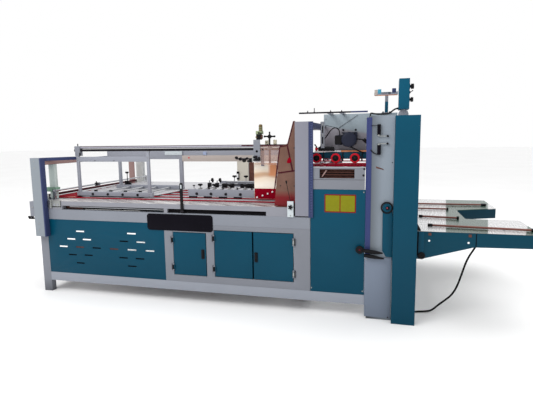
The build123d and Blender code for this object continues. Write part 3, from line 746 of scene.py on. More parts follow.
def area(name, loc, target, size, power):
    d = bpy.data.lights.new(name, 'AREA')
    d.shape = 'RECTANGLE'
    d.size, d.size_y = size
    d.energy = power
    o = bpy.data.objects.new(name, d)
    scene.collection.objects.link(o)
    o.location = loc
    o.rotation_euler = (Vector(target) - Vector(loc)).to_track_quat('-Z', 'Y').to_euler()
    return o


area("key", (-3.0, -6.0, 6.5), (0, 0, 0.8), (4, 3), 260)
area("top", (1.0, 1.5, 6.0), (0, 0, 0), (7, 5), 160)

# ---- body ---------------------------------------------------------------
for n in ("crossbeams", "mounting_brackets"):
    soften(n, GREY, 1.6)
for n in ("frame_legs", "door_frames", "window_frames"):
    soften(n, GREY_FRAME, 1.6)
soften("frame_rails", GREY_RAIL, 1.6)
for n in ("hanging_posts", "hanging_beams"):
    soften(n, GREY_LIGHT, 1.6)
soften("gantry_columns", GREY_PORTAL, 1.6)
soften("table_beams", GREY_BEAM, 1.6)
soften("press_columns", GREY_COL_PAINTED_SHADE, 2.0)
soften("press_walls", WALL_PAINTED_SHADE, 1.5)
soften("cover_plates", GREY_COVER, 1.5)
soften("top_brackets", GREY_LIGHT, 1.2)
for n in ("side_panels", "slotted_panels"):
    soften(n, TEAL, 0.7)
for n in ("door_left", "door_mid_left", "door_mid_right"):
    soften(n, TEAL, 1.6)
soften("press_beams", TEAL, 1.5)
soften("outfeed_columns", TEAL_COL, 3.0, 3)
soften("control_box", TEAL, 3.0, 3)
soften("fork_sides", TEAL_FORK, 1.0)
soften("gantry_beams", NAVY, 1.5)
dress("table_deck", SHEET_PALE)
dress("belt_beams", PALE)
dress("table_aprons", APRON_PAINTED_HIGHLIGHTS)
dress("feed_belts", CRIMSON)
dress("belt_rollers", STEEL_Y)
dress("chrome_rails", RAIL)
dress("cross_rods", STEEL_Y)
dress("infeed_rod", STEEL_Y)
dress("fixed_shafts", DARK_STEEL)
dress("door_hinge_pins", DARK_STEEL)
dress("fork_deck", DECK_PAINTED_REFLECTION)
dress("cable_glands", BLACK)
dress("press_belts", CRIMSON)
dress("front_guard", CLEAR)
dress("end_guard", ACRYLIC)
dress("glue_tray", TRAY)

# painted shade: dark and brown strips behind the panel's slots that show no light
p = Piece("slot_painted_shade_and_light")
for x, z in ((638, 470), (361, 389), (542, 393), (444, 309), (942, 551), (929, 389), (1105, 389),
             (1018, 311), (449, 470), (830, 470)):
    p.box(x - 52, x + 52, 8, 11, z - 16, z + 16, BROWN if z == 470 and x < 900 and x != 638 else DARK, 0.5)
# painted light: white strips behind two slots, for the bright background seen through them
for x, z in ((1121, 550), (1213, 471)):
    p.box(x - 52, x + 52, 8, 11, z - 14, z + 14, WHITE_PL, 0.5)
p.done("frame")

# nameplate: bare plate with a raised rim and four screws
p = Piece("nameplate_plate")
x0, x1, z0, z1 = 1205, 1856, 677, 830


def rounded(x0, x1, z0, z1, r, n=6):
    pts = []
    for cx, cz, a0 in ((x1 - r, z1 - r, 0), (x0 + r, z1 - r, 90), (x0 + r, z0 + r, 180), (x1 - r, z0 + r, 270)):
        for k in range(n + 1):
            a = radians(a0 + 90 * k / n)
            pts.append((cx + r * cos(a), cz + r * sin(a)))
    return pts


p.poly(rounded(x0, x1, z0, z1, 26), -3.0, 0, BLACK_PAINT, 1.0)
rim_o, rim_i = rounded(x0, x1, z0, z1, 26), rounded(x0 + 9, x1 - 9, z0 + 9, z1 - 9, 18)
tmp = bmesh.new()
vo = [tmp.verts.new(q(x, -4.0, z)) for x, z in rim_o]
vi = [tmp.verts.new(q(x, -4.0, z)) for x, z in rim_i]
wo = [tmp.verts.new(q(x, -2.5, z)) for x, z in rim_o]
wi = [tmp.verts.new(q(x, -2.5, z)) for x, z in rim_i]
for k in range(len(vo)):
    k2 = (k + 1) % len(vo)
    tmp.faces.new((vo[k], vo[k2], vi[k2], vi[k]))
    tmp.faces.new((vo[k], wo[k], wo[k2], vo[k2]))
    tmp.faces.new((vi[k], vi[k2], wi[k2], wi[k]))
p.take(tmp, BLACK_PAINT, 0.4)
for x in (x0 + 18, x1 - 18):
    for z in (z0 + 18, z1 - 18):
        p.turn((x, -2.8, z), (0, -1, 0), [(0, 0), (5, 0), (5, 0.6), (3.5, 1.1), (0, 1.2)], BLACK, 16)
p.done("frame", ["nameplate"])

# bare two-field plate with its red frame
p = Piece("label_plate_fields")
x0, x1, z0, z1 = 2852, 3108, 889, 1039
p.poly(rounded(x0, x1, z0, z1, 5, 4), 1.4, 3.0, LABEL_R, 0.3)
xm = (x0 + x1) / 2
for a, b in ((x0 + 9, xm - 4), (xm + 4, x1 - 9)):
    p.poly(rounded(a, b, z0 + 9, z1 - 9, 3, 3), 1.0, 1.6, LABEL_Y, 0.2)
p.done("frame", ["label_plate"])

# door latches: pull cup, paddle and key cylinder
for name, node, body, xc in (("door_left_latch", "door_left_handle", "door_left", 1752),
                             ("door_mid_right_latch", "door_mid_right_handle", "door_mid_right", 2254)):
    p = Piece(name)
    p.poly(rounded(xc - 15, xc + 15, 426, 514, 7), -5, 0, BLACK, 1.2)
    p.poly(rounded(xc - 9.5, xc + 9.5, 452, 508, 5), -11, -4, BLACK, 1.5)
    p.turn((xc, -5, 440), (0, -1, 0), [(0, 0), (8, 0), (8, 4), (6.5, 5.5), (0, 5.5)], BLACK, 20)
    p.box(xc - 1, xc + 1, -10.9, -10, 436, 444, DARK, 0.2)
    p.done(body, [node])

# black barrels of the door hinges, with their short leaves
for body, hx, z0, z1, s in (("door_left", 1457, 262, 667, 1), ("door_mid_left", 1861, 266, 697, 1),
                            ("door_mid_right", 2590, 266, 697, -1)):
    p = Piece(body + "_hinge_barrels")
    for zc in (z0 + 75, z1 - 75):
        a, b = sorted((hx + s * 7, hx + s * 15.4))
        p.box(a, b, -11, -0.2, zc - 18.2, zc + 18.2, TEAL, 0.6)
        p.turn((hx, -9, zc - 18.2), (0, 0, 1), [(4.1, 0), (8.3, 0), (8.7, 0.6), (8.7, 35.8), (8.3, 36.4), (4.1, 36.4), (4.1, 0)], BLACK if s > 0 else ZINC, 24)
    p.done(body)
p = Piece("hinge_eyes")
for hx, z0, z1, s in ((1457, 262, 667, -1), (1861, 266, 697, -1), (2590, 266, 697, 1)):
    for zc in (z0 + 75, z1 - 75):
        for a0, a1 in ((zc - 32.2, zc - 22.8), (zc + 22.8, zc + 32.2)):
            p.turn((hx, -9, a0), (0, 0, 1), [(0, 0), (8.2, 0), (8.6, 0.5), (8.6, a1 - a0 - 0.5), (8.2, a1 - a0), (0, a1 - a0)], GREY, 24)
p.done("frame")

# bolts and seams on the body
p = Piece("body_bolts")
for x, z in ((3171, 1249), (3165, 1197)):
    p.hex((x, 0, z), (0, -1, 0), 9, 6, DARK_STEEL)
    p.hex((x, DEPTH, z), (0, 1, 0), 9, 6, DARK_STEEL)
for x in (2742, 3170):
    for z in (230, 1060):
        p.turn((x, 3, z), (0, -1, 0), [(0, 0), (6, 0), (6, 1), (4, 3), (0, 3.4)], ZINC, 16)
p.turn((3377, -6, 26), (0, -1, 0), [(0, 0), (6, 0), (6, 1.5), (4, 4), (0, 4.4)], DARK_STEEL, 16)
p.turn((3200, -6, 510), (0, -1, 0), [(0, 0), (5, 0), (5, 1.5), (3, 4), (0, 4.4)], ZINC, 16)
for z in (640, 700, 1250, 1310):
    p.turn((45, -60, z), (0, -1, 0), [(0, 0), (6, 0), (5.4, 1.6), (3, 2.6), (0, 2.8)], ZINC, 16)
# painted shade: dark strip behind the split of the paired doors, for the shadow in the gap
p.box(2205, 2245, 24, 28, 266, 697, DARK, 1)
p.done("frame")

# window of the press section: rails inside it, seam and edge of its plate
p = Piece("window_interior")
p.box(2806, 3098, 36, 39, 1168, 1251, BROWN, 0.5)
for z0, z1 in ((1226, 1231), (1206, 1213), (1186, 1192)):
    p.box(2812, 3092, 26, 34, z0, z1, DARK, 0.8)
p.poly([(2822, 1180), (2832, 1180), (2872, 1236), (2860, 1240)], 20, 25, PINK_BROWN, 0.6)
p.box(2736, 3182, -2, 6, 1258, 1266, STEEL, 0.8)
p.box(2737, 3181, -0.6, 0, 1159, 1161.4, DARK_STEEL, 0.2)
p.box(3177.5, 3181.5, -0.8, 0, 1082, 1258, WHITE_PL, 0.3)
p.done("frame")

# ---- edge strips, one with a slotted trunking ---------------------------
p = Piece("edge_strips_panels")
p.mirror_box(106, 120, -60, 0, 572, 1345, NAVY, 1.2)
p.mirror_box(2720, 2734, -9, 60, 840, 1635, NAVY, 1.0)
# trunking: a row of short open slots down its face
n_slots = 58
pitch = (1630 - 850) / n_slots
p.mirror_box(2733, 2751, -5, -0.4, 846, 1632, TRUNK_IN, 0.3)
for a, b in ((2720, 2735), (2750, 2758)):
    p.mirror_box(a, b, -10, -0.2, 840, 1635, NAVY, 1.0)
p.mirror_box(2734, 2751, -10, -1, 840, 850, NAVY, 0.8)
p.mirror_box(2734, 2751, -10, -1, 1630, 1635, NAVY, 0.8)
for k in range(n_slots):
    z = 850 + (k + 0.5) * pitch
    for y0, y1 in ((-10, -3), (DEPTH + 3, DEPTH + 10)):
        p.box(2734, 2751, y0, y1, z - 3.4, z + 3.4, NAVY, 0.6, 1)
for y0, y1, y2 in ((0, 20, 60), (DEPTH - 20, DEPTH, DEPTH - 60)):
    p.box(3184, 3200, y0, y1, 200, 1655, BLUE, 1.5)
    a, b = sorted((y1 if y2 > y1 else y0, y2))
    p.box(3184, 3200, a, b, 200, 1570, BLUE, 1.5)
p.mirror_box(3198, 3226, -1.2, 0.2, 532, 1655, BLUE, 0.4)
p.box(106, 107.5, 2, 1938, 1276, 1313, PINK_BROWN, 0.3)
p.done("frame", ["edge_strips"])

# ---- infeed end ---------------------------------------------------------
p = Piece("infeed_details")
# red infeed sheet beside the first roller, white roller and maroon bar
p.poly_z([(-6, 196), (-6, 640), (262, 640), (262, 232), (120, 196)], 934.5, 937.5, CRIMSON, 0.5)
p.poly_z([(-8, 186), (60, 196), (262, 222), (262, 232), (120, 200), (-8, 196)], 930, 936, BEIGE_PL, 0.5)
p.box(-14, 40, 150, 186, 926, 940, NAVY, 1.0)
p.rod((12, 130, 960), (12, 1800, 960), 13, MAROON, 1.5, 24)
# plain pale sheet beyond the near belts, painted light standing in for the glare that washes out the far belts
p.poly_z([(60, 480), (1050, 480), (1130, 1010), (2560, 1010), (2560, 1870), (60, 1870)], 934.2, 936.5, SHEET_PALE, 0.5)
for y in (128, 1796):
    p.box(0, 24, y, y + 14, 929, 974, ZINC, 1.0)
# clamps on the round rod
for y in (757,):
    p.turn((136, y - 16, 1012), (0, 1, 0), [(0, 0), (17, 0), (19, 2), (19, 30), (17, 32), (0, 32)], BLACK, 24)
    p.rod((136, y, 1028), (136, y, 1044), 6, BLACK)
# clamp block with star knob at the lower far beam's end
p.box(352, 392, 994, 1026, 985, 1030, BLACK, 4)
p.box(396, 428, 996, 1020, 985, 1012, BLACK, 3)
p.turn((372, 992, 1010), (0, -1, 0), [(0, 0), (12, 0), (14, 2), (14, 8), (9, 11), (0, 11)], BLACK, 24)
p.star((386, 1000, 1030), (0, 0, 1), 22, 24, BLACK, 5, 84, DARK_STEEL, 4.5)
# warm grey plate beside the far column of the infeed portal
p.box(-88, -3, 1796, 1806, 910, 1300, PINK_BROWN, 2)
p.box(-88, 40, 1806, 1816, 1280, 1300, PINK_BROWN, 1)
# bearing block at the table's near corner
p.box(126, 168, -14, 0, 853, 932, ZINC, 3)
p.box(168, 268, -10, 0, 862, 928, ZINC, 2.5)
for x in (146, 200, 240):
    p.hex((x, -12 if x < 168 else -10, 886 if x != 146 else 910), (0, -1, 0), 13, 6, STEEL)
p.box(135, 275, -13, -9.5, 866, 872, DARK, 0.5)
# foot of the thin post
p.box(-8, 125, 118, 181, 998, 1042, MINT, 3)
p.box(44.5, 111.5, 128.5, 169.5, 930, 998, PALE_MINT, 1)
p.box(44.5, 111.5, 128.5, 169.5, 1042, 1274, PALE_MINT, 1)
p.done("frame")

p = Piece("switch_lever")
p.turn((-46, -44, 767), (-0.9, 0, -0.12), [(0, 0), (5, 0), (5, 12), (7, 14), (7, 26), (10, 30), (11, 34), (9, 40), (4, 43), (0, 43)], BLACK, 18)
p.box(-52, -30, -46, -34, 758, 771, BLACK, 2)
p.turn((-30, -46, 860), (0, -1, 0), [(0, 0), (7, 0), (7, 3), (4, 5), (0, 5)], ZINC, 20)
p.done("frame")

# ---- gap under the long beam -------------------------------------------
p = Piece("gap_interior_painted_shade")
# painted shade: dark and brown sheets at the back of the gap under the long beam
p.box(270, 2355, 66, 70, 839, 878, DARK, 0.3)
p.box(280, 470, 60, 65, 842, 876, BROWN, 0.5)
p.poly([(330, 861), (342, 868), (1374, 861), (1374, 855)], 40, 50, STEEL, 0.8)
# dark wedge on the table at the brown guard
p.poly_z([(2436, 3), (2494, 176), (2598, 176), (2598, 3)], 921, 925.5, BROWN, 0.5)
# painted shade: dark bars filling the gap
p.box(470, 1376, 52, 58, 868, 877, DARK, 0.5)
p.box(1415, 2347, 22, 60, 845.5, 877.5, DARK, 0.8)
p.rod((1418, 21, 862), (2345, 21, 858), 2.2, DARK_STEEL, 0.5, 10)
p.rod((1418, 21, 849), (2345, 21, 849), 1.6, DARK_STEEL, 0.5, 10)
p.done("frame")

# ---- near frame bolts ---------------------------------------------------
p = Piece("beam_bolts")
for x in (433, 609, 779, 948):
    p.turn((x, 280, 962), (0, -1, 0), [(0, 0), (12, 0), (13, 1), (13, 4), (10, 5), (10, 11), (8, 13), (0, 13)], DARK_STEEL, 22)
for x in (1547, 1696, 1849, 1997):
    p.turn((x, 370, 975), (0, -1, 0), [(0, 0), (13, 0), (14, 1), (14, 4), (10, 6), (10, 13), (8, 15), (0, 15)], DARK_STEEL, 22)
for x in (277, 1079):
    for z in (952, 975, 1305, 1332, 1392):
        p.turn((x, 280, z), (0, -1, 0), [(0, 0), (5, 0), (5, 1.5), (3.4, 3.4), (0, 3.6)], ZINC, 14)
for x in (480, 700):
    p.turn((x, 282, 1302), (0, -1, 0), [(0, 0), (5, 0), (5, 1.5), (3.4, 3.4), (0, 3.6)], DARK_STEEL, 14)
# clamp head of the first post, with its stud and dark side
p.box(253, 312, 277, 323, 1350, 1450, GREY, 3)
p.box(304, 312.6, 276, 290, 1350, 1385, DARK_STEEL, 0.5)
p.rod((276, 300, 1449), (276, 300, 1474), 5, DARK_STEEL)
# dark strip under the near beam and the clamps of its cross rods
p.box(390, 1000, 284, 316, 931, 942.5, DARK, 1)
for x in (433, 609, 779, 948):
    p.box(x - 15, x + 15, 320, 342, 948, 998, BLACK, 3)
p.done("frame")

# second set of guides: wheels on hubs, star knobs, clamps and shafts
p = Piece("guide_carriage")
for x in (1500, 1655, 1812, 1965):
    p.turn((x, 380, 964), (0, 1, 0), [(0, 0), (27, 0), (29, 2), (29, 19), (27, 22), (18, 22), (16, 19), (8, 19), (8, 22), (0, 22)], BLACK, 36)
    p.turn((x, 402, 964), (0, 1, 0), [(0, 0), (7, 0), (7, 5), (0, 5)], ZINC, 16)
    p.box(x - 38, x + 38, 369, 403, 934.5, 950, BLACK, 2)
for x in (1572, 1721, 1876, 2031):
    p.box(x - 13, x + 13, 380, 430, 1018, 1030, ZINC, 2)
    p.star((x, 405, 1030), (0, 0, 1), 25, 24, BLACK, 5, 16, STEEL, 5)
# dark shaft on top, its clamps
p.rod((1745, 600, 1042), (2170, 600, 1042), 8, DARK_STEEL)
for x in (1757, 1830, 1951, 2010, 2055, 2120):
    p.box(x - 24, x + 24, 578, 622, 1012, 1056, BLACK, 5)
    p.turn((x, 578, 1034), (0, -1, 0), [(0, 0), (12, 0), (13, 3), (10, 9), (0, 9)], BLACK, 20)
p.box(1760, 2170, 640, 652, 1060, 1076, STEEL, 2)
for x in (1508, 1595):
    p.box(x - 16, x + 16, 776, 824, 990, 1040, BLACK, 5)
    p.star((x + 16, 800, 1066), (1, 0, 0.15), 26, 24, BLACK, 5, 4, STEEL, 5)
    p.rod((x, 800, 1036), (x, 800, 1066), 5, STEEL)
for x in (1639, 1779):
    p.star((x, 1240, 1018), (0, 0, 1), 26, 26, BLACK, 5, 40, STEEL, 5)
p.star((1416, 600, 1000), (0, 0, 1), 13, 16, BLACK, 5, 20, STEEL, 4)
p.rod((1416, 600, 990), (1416, 640, 990), 6, STEEL)
for y in (500, 700, 900, 1100):
    for x in (1535, 1690, 1850, 2005):
        p.turn((x, y - 10, 990), (0, 1, 0), [(0, 0), (13, 0), (14, 1), (14, 19), (13, 20), (0, 20)], ZINC if y != 700 else BLACK, 20)
p.done("frame", ["guide_wheels"])

# black outer wheels at the press column and under the near arm
p = Piece("outer_wheels")
p.turn((3352, -12, 942), (0, 1, 0), [(0, 0), (30, 0), (30, 11), (0, 11)], DARK_STEEL, 36)
p.turn((3352, -18, 942), (0, -1, 0), [(36, -5), (46, -5), (48, -3), (48, 4), (45, 7), (38, 7), (36, 5), (36, -5)], BLACK, 48)
p.turn((3352, -17, 942), (0, -1, 0), [(0, 0), (34, 0), (34, 1), (20, 1.5), (20, 5), (17, 8), (11, 8), (9, 5), (0, 5)], TEAL, 40)
p.turn((3358, -22, 940), (0, -1, 0), [(0, 0), (15, 0), (15, 5), (12, 8), (0, 8)], BLACK, 24)
p.turn((3354, -28, 942), (0, -1, 0), [(0, 0), (5, 0), (4, 3), (0, 3)], PINK, 16)
p.turn((3625, 0, 563), (0, -1, 0), [(0, 0), (24, 0), (28, 3), (28, 12), (24, 16), (18, 16), (16, 12), (8, 12), (6, 17), (0, 17)], BLACK, 36)
p.done("frame")

# ---- glue station -------------------------------------------------------
p = Piece("glue_valve_body")
p.box(2204, 2246, 228, 286, 1492, 1541, BLACK, 4)
p.box(2246, 2256, 232, 276, 1500, 1534, BROWN, 3)
p.poly_z([(2198, 240), (2206, 230), (2252, 230), (2260, 240), (2260, 278), (2252, 286), (2206, 286), (2198, 278)], 1541, 1570, OLIVE, 3)
p.turn((2240, 258, 1568), (0, 0, 1), [(0, 0), (19, 0), (19, 5), (17, 8), (17, 50), (14, 57), (8, 61), (0, 62)], BRASS, 28)
for z in (1582, 1598):
    p.turn((2240, 258, z), (0, 0, 1), [(17, 0), (18.2, 1), (18.2, 4), (17, 5)], OLIVE, 28)
p.rod((2236, 226, 1552), (2256, 216, 1546), 4, BLACK)
p.turn((2208, 229, 1515), (0, -1, 0), [(0, 0), (8, 0), (8, 5), (5, 7), (0, 7)], BRASS, 20)
p.done("frame", ["glue_valve"])

p = Piece("glue_lever")
p.turn((2232, 214, 1552), (0.97, 0, -0.22), [(0, 0), (5, 0), (5, 8), (3.5, 12), (3.5, 22), (6, 26), (6.5, 30), (0, 32)], BLACK, 16)
p.turn((2232, 228, 1552), (0, -1, 0), [(0, 0), (8, 0), (8, 12), (6, 15), (0, 15)], BLACK, 20)
p.done("frame")

p = Piece("hand_wheel_star")
sx, sy = 2321, 262
p.turn((sx, sy, 1503), (0, 0, 1), [(7.05, 0), (13, 0), (16, 3), (16, 22), (13, 30), (7.05, 32), (7.05, 0)], BLACK, 32)
for k in range(4):
    a = radians(30 + 90 * k)
    d = Vector((cos(a), sin(a), 0))
    p.turn((sx + 13 * cos(a), sy + 13 * sin(a), 1520), d, [(0, 0), (9, 0), (7.5, 6), (6.5, 22), (8, 27), (9.5, 33), (8.5, 38), (4, 41.5), (0, 42)], BLACK, 20)
p.done("hand_wheel", ["hand_wheel"])

p = Piece("glue_station_details")
# screw cover where it runs behind the guard, small beige mounts
p.turn((sx, sy, 1266), (0, 0, 1), [(7.2, 16), (9.4, 16), (9.4, 138), (7.2, 138), (7.2, 16)], MAROON, 24)
for x0, x1, z1 in ((2270, 2296, 1484), (2348, 2376, 1490)):
    p.box(x0, x1, 288, 312, 1449, z1, BEIGE_PL, 2)
p.turn((2283, 288, 1468), (0, -1, 0), [(0, 0), (5, 0), (4, 3), (0, 3)], BLACK, 14)
p.box(2302, 2318, 288, 306, 1449, 1500, BEIGE_PL, 2)
# clamps and short elbows under the flat bar
for x, z, r in ((2001, 1330, 13), (2040, 1318, 15), (2076, 1304, 17), (2104, 1322, 12), (2141, 1306, 18), (2172, 1322, 13)):
    p.turn((x, 262, z), (0, -1, 0), [(0, -14), (r, -14), (r, 6), (r * 0.8, 12), (0, 12)], BLACK, 20)
p.box(2000, 2176, 250, 272, 1314, 1326, DARK_STEEL, 2)
p.box(2110, 2136, 244, 272, 1290, 1308, BLACK, 3)
p.box(2160, 2180, 234, 272, 1300, 1352, ZINC, 2)
# more fittings in front of the hanging bracket
for x, z, r in ((2186, 1336, 11), (2206, 1316, 14), (2232, 1328, 11)):
    p.turn((x, 228, z), (0, -1, 0), [(0, 0), (r, 0), (r, 10), (r * 0.8, 15), (0, 15)], BLACK, 20)
p.box(2176, 2245, 216, 228, 1304, 1318, BLACK, 3)
p.box(2190, 2214, 220, 228, 1330, 1350, DARK_STEEL, 2)
# round hole's shadow and screws in the hanging bracket
p.turn((2209, 233.4, 1388), (0, -1, 0), [(0, 0), (11.2, 0), (11.2, 3), (0, 3)], DARK, 24)
for x, z in ((2190, 1476), (2228, 1476), (2190, 1310), (2228, 1310)):
    p.turn((x, 228, z), (0, -1, 0), [(0, 0), (4, 0), (3.4, 2), (0, 2.4)], ZINC, 14)
# screws of the front guard
for x, z in ((2262, 1403), (2420, 1378)):
    p.turn((x, 237, z), (0, -1, 0), [(0, 0), (7, 0), (7, 3), (5, 5), (0, 5)], DARK_STEEL, 18)
p.box(2062, 2488, 235.6, 243.4, 1436, 1444, MAROON, 0.6)
# red tray foot with pale nozzles
p.poly([(2154, 946), (2154, 1040), (2358, 1040), (2358, 946)], 323, 330, CRIMSON, 1)
for x, z in ((2178, 958), (2232, 976), (2281, 994), (2326, 1012)):
    p.turn((x, 323, z), (0, -1, 0), [(0, 0), (8, 0), (8, 8), (5, 11), (0, 11)], WHITE_PL, 18)
p.done("frame")

p = Piece("guard_edges")
# maroon edging of the brown guard and its joints, painted shade where the clear sheet's edges look dark; red glue
# parts behind it
def strip(pts, y0, y1, w, mat):
    for (xa, za), (xb, zb) in zip(pts, pts[1:]):
        d = Vector((xb - xa, 0, zb - za)).normalized()
        nrm = Vector((-d.z, 0, d.x)) * (w / 2)
        p.poly([(xa + nrm.x, za + nrm.z), (xa - nrm.x, za - nrm.z), (xb - nrm.x, zb - nrm.z), (xb + nrm.x, zb + nrm.z)], y0, y1, mat, 0.5)


strip([(2417, 1071), (2467, 1431), (2533, 1441), (2587, 1641)], 38.5, 46.5, 10, MAROON)
strip([(2533, 1436), (2575, 1232)], 37, 40, 12, MAROON)
strip([(2445, 1208), (2600, 1230)], 37, 40, 12, MAROON)
p.poly([(2526, 1296), (2536, 1330), (2556, 1344), (2568, 1308), (2552, 1292)], 36, 38.5, CRIMSON, 0.8)
for x, z in ((2470, 1100), (2590, 1100), (2590, 1420)):
    p.turn((x, 40, z), (0, -1, 0), [(0, 0), (5, 0), (5, 2), (3, 4), (0, 4)], DARK_STEEL, 14)
p.poly([(2420, 930), (2424, 1030), (2598, 1000), (2598, 930)], 60, 64, CRIMSON, 1)
p.poly([(2540, 1250), (2560, 1320), (2590, 1320), (2590, 1240)], 70, 74, CRIMSON, 1)
p.done("frame")

p = Piece("knob_plate_details")
p.box(2539, 2591, -9.4, -8, 839, 974, PALE, 0.5)
p.star((2568, -9, 925), (0, -1, 0), 22, 16, BLACK, 5, 2, STEEL, 5)
p.turn((2566, -9, 852), (0, -1, 0), [(0, 0), (6, 0), (6, 2), (4, 4), (0, 4)], ZINC, 16)
p.rod((2533, -3, 1125), (2574, -3, 922), 2.6, BLACK, 0.5, 10)
p.turn((2528, -3, 1150), (0.2, 0, -0.98), [(0, 0), (6, 2), (7, 8), (6, 22), (3.5, 28), (0, 28)], BLACK, 16)
p.box(2594, 2605, -3, 0, 851, 960, DARK, 1)
p.done("frame")

# lever with its slot and grip end
p = Piece("slotted_lever_bar")
tmp = bmesh.new()
outer = []
for k in range(13):
    a = radians(180 * k / 12)
    outer.append((1566 + 15 * cos(a), 1104 + 15 * sin(a)))
outer += [(1553, 870), (1556, 851), (1578, 851), (1580, 870)]
p.poly(outer, -14, -6, BLACK, 1.5)
p.poly(rounded(1560, 1572, 1066, 1102, 6), -14.6, -13.6, PALE, 0.2)
p.box(1554, 1578, -6, 0, 880, 905, BLACK, 1)
p.turn((1566, -14, 893), (0, -1, 0), [(0, 0), (10, 0), (10, 4), (7, 6), (0, 6)], DARK_STEEL, 20)
p.box(1549, 1583, -16, -2, 851, 868, DARK_STEEL, 2)
p.done("frame", ["slotted_lever"])

# ---- press section ------------------------------------------------------
p = Piece("press_motor")
MX, MZ = 3033, 1484
prof = []
for k in range(40):
    a = 2 * pi * k / 40
    x, z = 64 * cos(a), 64 * sin(a)
    prof.append((MX + x, MZ + min(z, 60)))
p.poly(prof, 150, 250, MOTOR, 4)
p.turn((MX, 150, MZ), (0, -1, 0), [(0, 0), (60, 0), (62, 3), (60, 12), (48, 18), (28, 20), (0, 20)], MOTOR, 48)
p.box(2973, 3094, 168, 250, 1536, 1545, MOTOR, 2)
p.box(3082, 3097, 168, 250, 1500, 1545, MOTOR, 2)
for k in range(10):
    a = radians(36 * k)
    p.box(MX - 1.2, MX + 1.2, 160, 246, MZ + 57, MZ + 64, BLACK_PAINT, 0.4,
          matrix=Matrix.Translation(q(MX, 0, MZ)) @ Matrix.Rotation(a, 4, 'Y') @ Matrix.Translation(-q(MX, 0, MZ)))
p.box(2920, 2975, 152, 228, 1440, 1521, MOTOR, 5)
p.box(2917, 2972, 148, 156, 1444, 1517, BLACK, 3)
p.turn((2953, 190, 1519), (0, 0, 1), [(0, 0), (9, 0), (9, 3), (7, 5), (6, 9), (4.6, 10), (0, 10)], BLACK, 20)
for x, z in ((2977, 1564), (3082, 1565)):
    p.hex((x, 250, z), (0, -1, 0), 9, 7, DARK_STEEL)
p.done("frame", ["motor"])

p = Piece("wall_details")
# fold line, a dark strip of painted shade along the crease; long thin wire brace, the second lead with its lump
p.poly([(2827, 1606), (2926, 1582), (2926, 1585), (2827, 1609)], 248.6, 250, DARK_STEEL, 0.3)
p.rod((2936, 246, 1580), (3099, 246, 1688), 1.6, DARK_STEEL, 0.3, 8)
p.tube([(3092, 180, 1488), (3116, 178, 1486), (3142, 190, 1482), (3160, 200, 1470)], 5, BLACK, 10)
p.turn((3150, 196, 1486), (0.7, 0, -0.7), [(0, 0), (12, 0), (15, 6), (15, 34), (10, 44), (0, 44)], BLACK, 22)
p.tube([(3046, 160, 1422), (3084, 170, 1404), (3130, 180, 1382), (3170, 190, 1366)], 5, BLACK, 10)
p.box(3180, 3197, 160, 200, 1336, 1362, BLACK, 4)
p.box(2962, 3190, 214, 222, 1380, 1392, ORANGE, 1)
p.box(2736, 2962, 214, 222, 1380, 1392, WHITE_PL, 1)
for x in (2830, 3170, 3400):
    for z in (1660, 1430):
        p.turn((x, 250, z), (0, -1, 0), [(0, 0), (5, 0), (5, 1.5), (3, 3), (0, 3.2)], ZINC, 14)
# start collar of the conduit
p.turn((3208, 250, 1640), (0, -1, 0), [(0, 0), (13, 0), (13, 4), (10, 7), (8, 12), (6.4, 13), (0, 13)], BLACK, 22)
# slotted upright's slots and the dark gap at its left, dark strips of painted shade; its screws
for z in (1480, 1570):
    p.poly(rounded(2812.5, 2823.5, z - 30, z + 30, 5.5), 129.0, 130.2, DARK, 0.1)
for z in (1440, 1525, 1612):
    p.turn((2818, 124, z), (0, -1, 0), [(0, 0), (6, 0), (6, 2), (4, 4), (0, 4)], ZINC, 16)
p.box(2799.5, 2803, 124, 138, 1416, 1634, DARK_STEEL, 0.6)
p.done("frame")

p = Piece("valve_block")
p.box(2778, 2912, 140, 180, 1390, 1425, BLACK, 4)
for x in (2800, 2824, 2848, 2872, 2896):
    p.turn((x, 140, 1407), (0, -1, 0), [(0, 0), (9, 0), (9, 3), (6, 6), (0, 6)], BLACK, 20)
p.turn((2776, 160, 1408), (-1, 0, 0), [(0, 0), (8, 0), (8, 6), (16, 10), (17, 18), (12, 26), (0, 28)], RED_PU, 24)
p.turn((2766, 150, 1420), (-0.6, 0, 0.8), [(0, 0), (6, 0), (5, 18), (7, 30), (3, 34), (0, 34)], BLACK, 16)
p.turn((2797, 162, 1424), (0, 0, 1), [(0, 0), (9, 0), (9, 4), (7, 7), (5.2, 9), (0, 9)], BLACK, 18)
# limit switches: body, cap, roller arm with its ball
for z0, z1, za, sgn in ((1519, 1600, 1508, -1), (1362, 1439, 1449, 1)):
    x0, x1 = (3266, 3293) if sgn < 0 else (3268, 3296)
    p.box(x0, x1, -26, 0, z0, z1, BLACK, 3)
    p.box(x0 + 3, x1 - 3, -29, -25, z0 + 6, z1 - 6, BLACK_PAINT, 1.5)
    zc = z0 if sgn < 0 else z1
    p.turn((x0 + 13, -13, zc), (0, 0, sgn), [(0, 0), (11, 0), (12, 3), (12, 9), (9, 12), (0, 12)], ZINC, 22)
    p.box(x0 + 8, 3345, -18, -11, za - 3, za + 3, ZINC, 1)
    p.turn((3346, -4, za), (0, -1, 0), [(0, 0), (6, 0), (8.5, 3), (9, 9), (8.5, 15), (6, 18), (0, 18)], BLACK, 24)
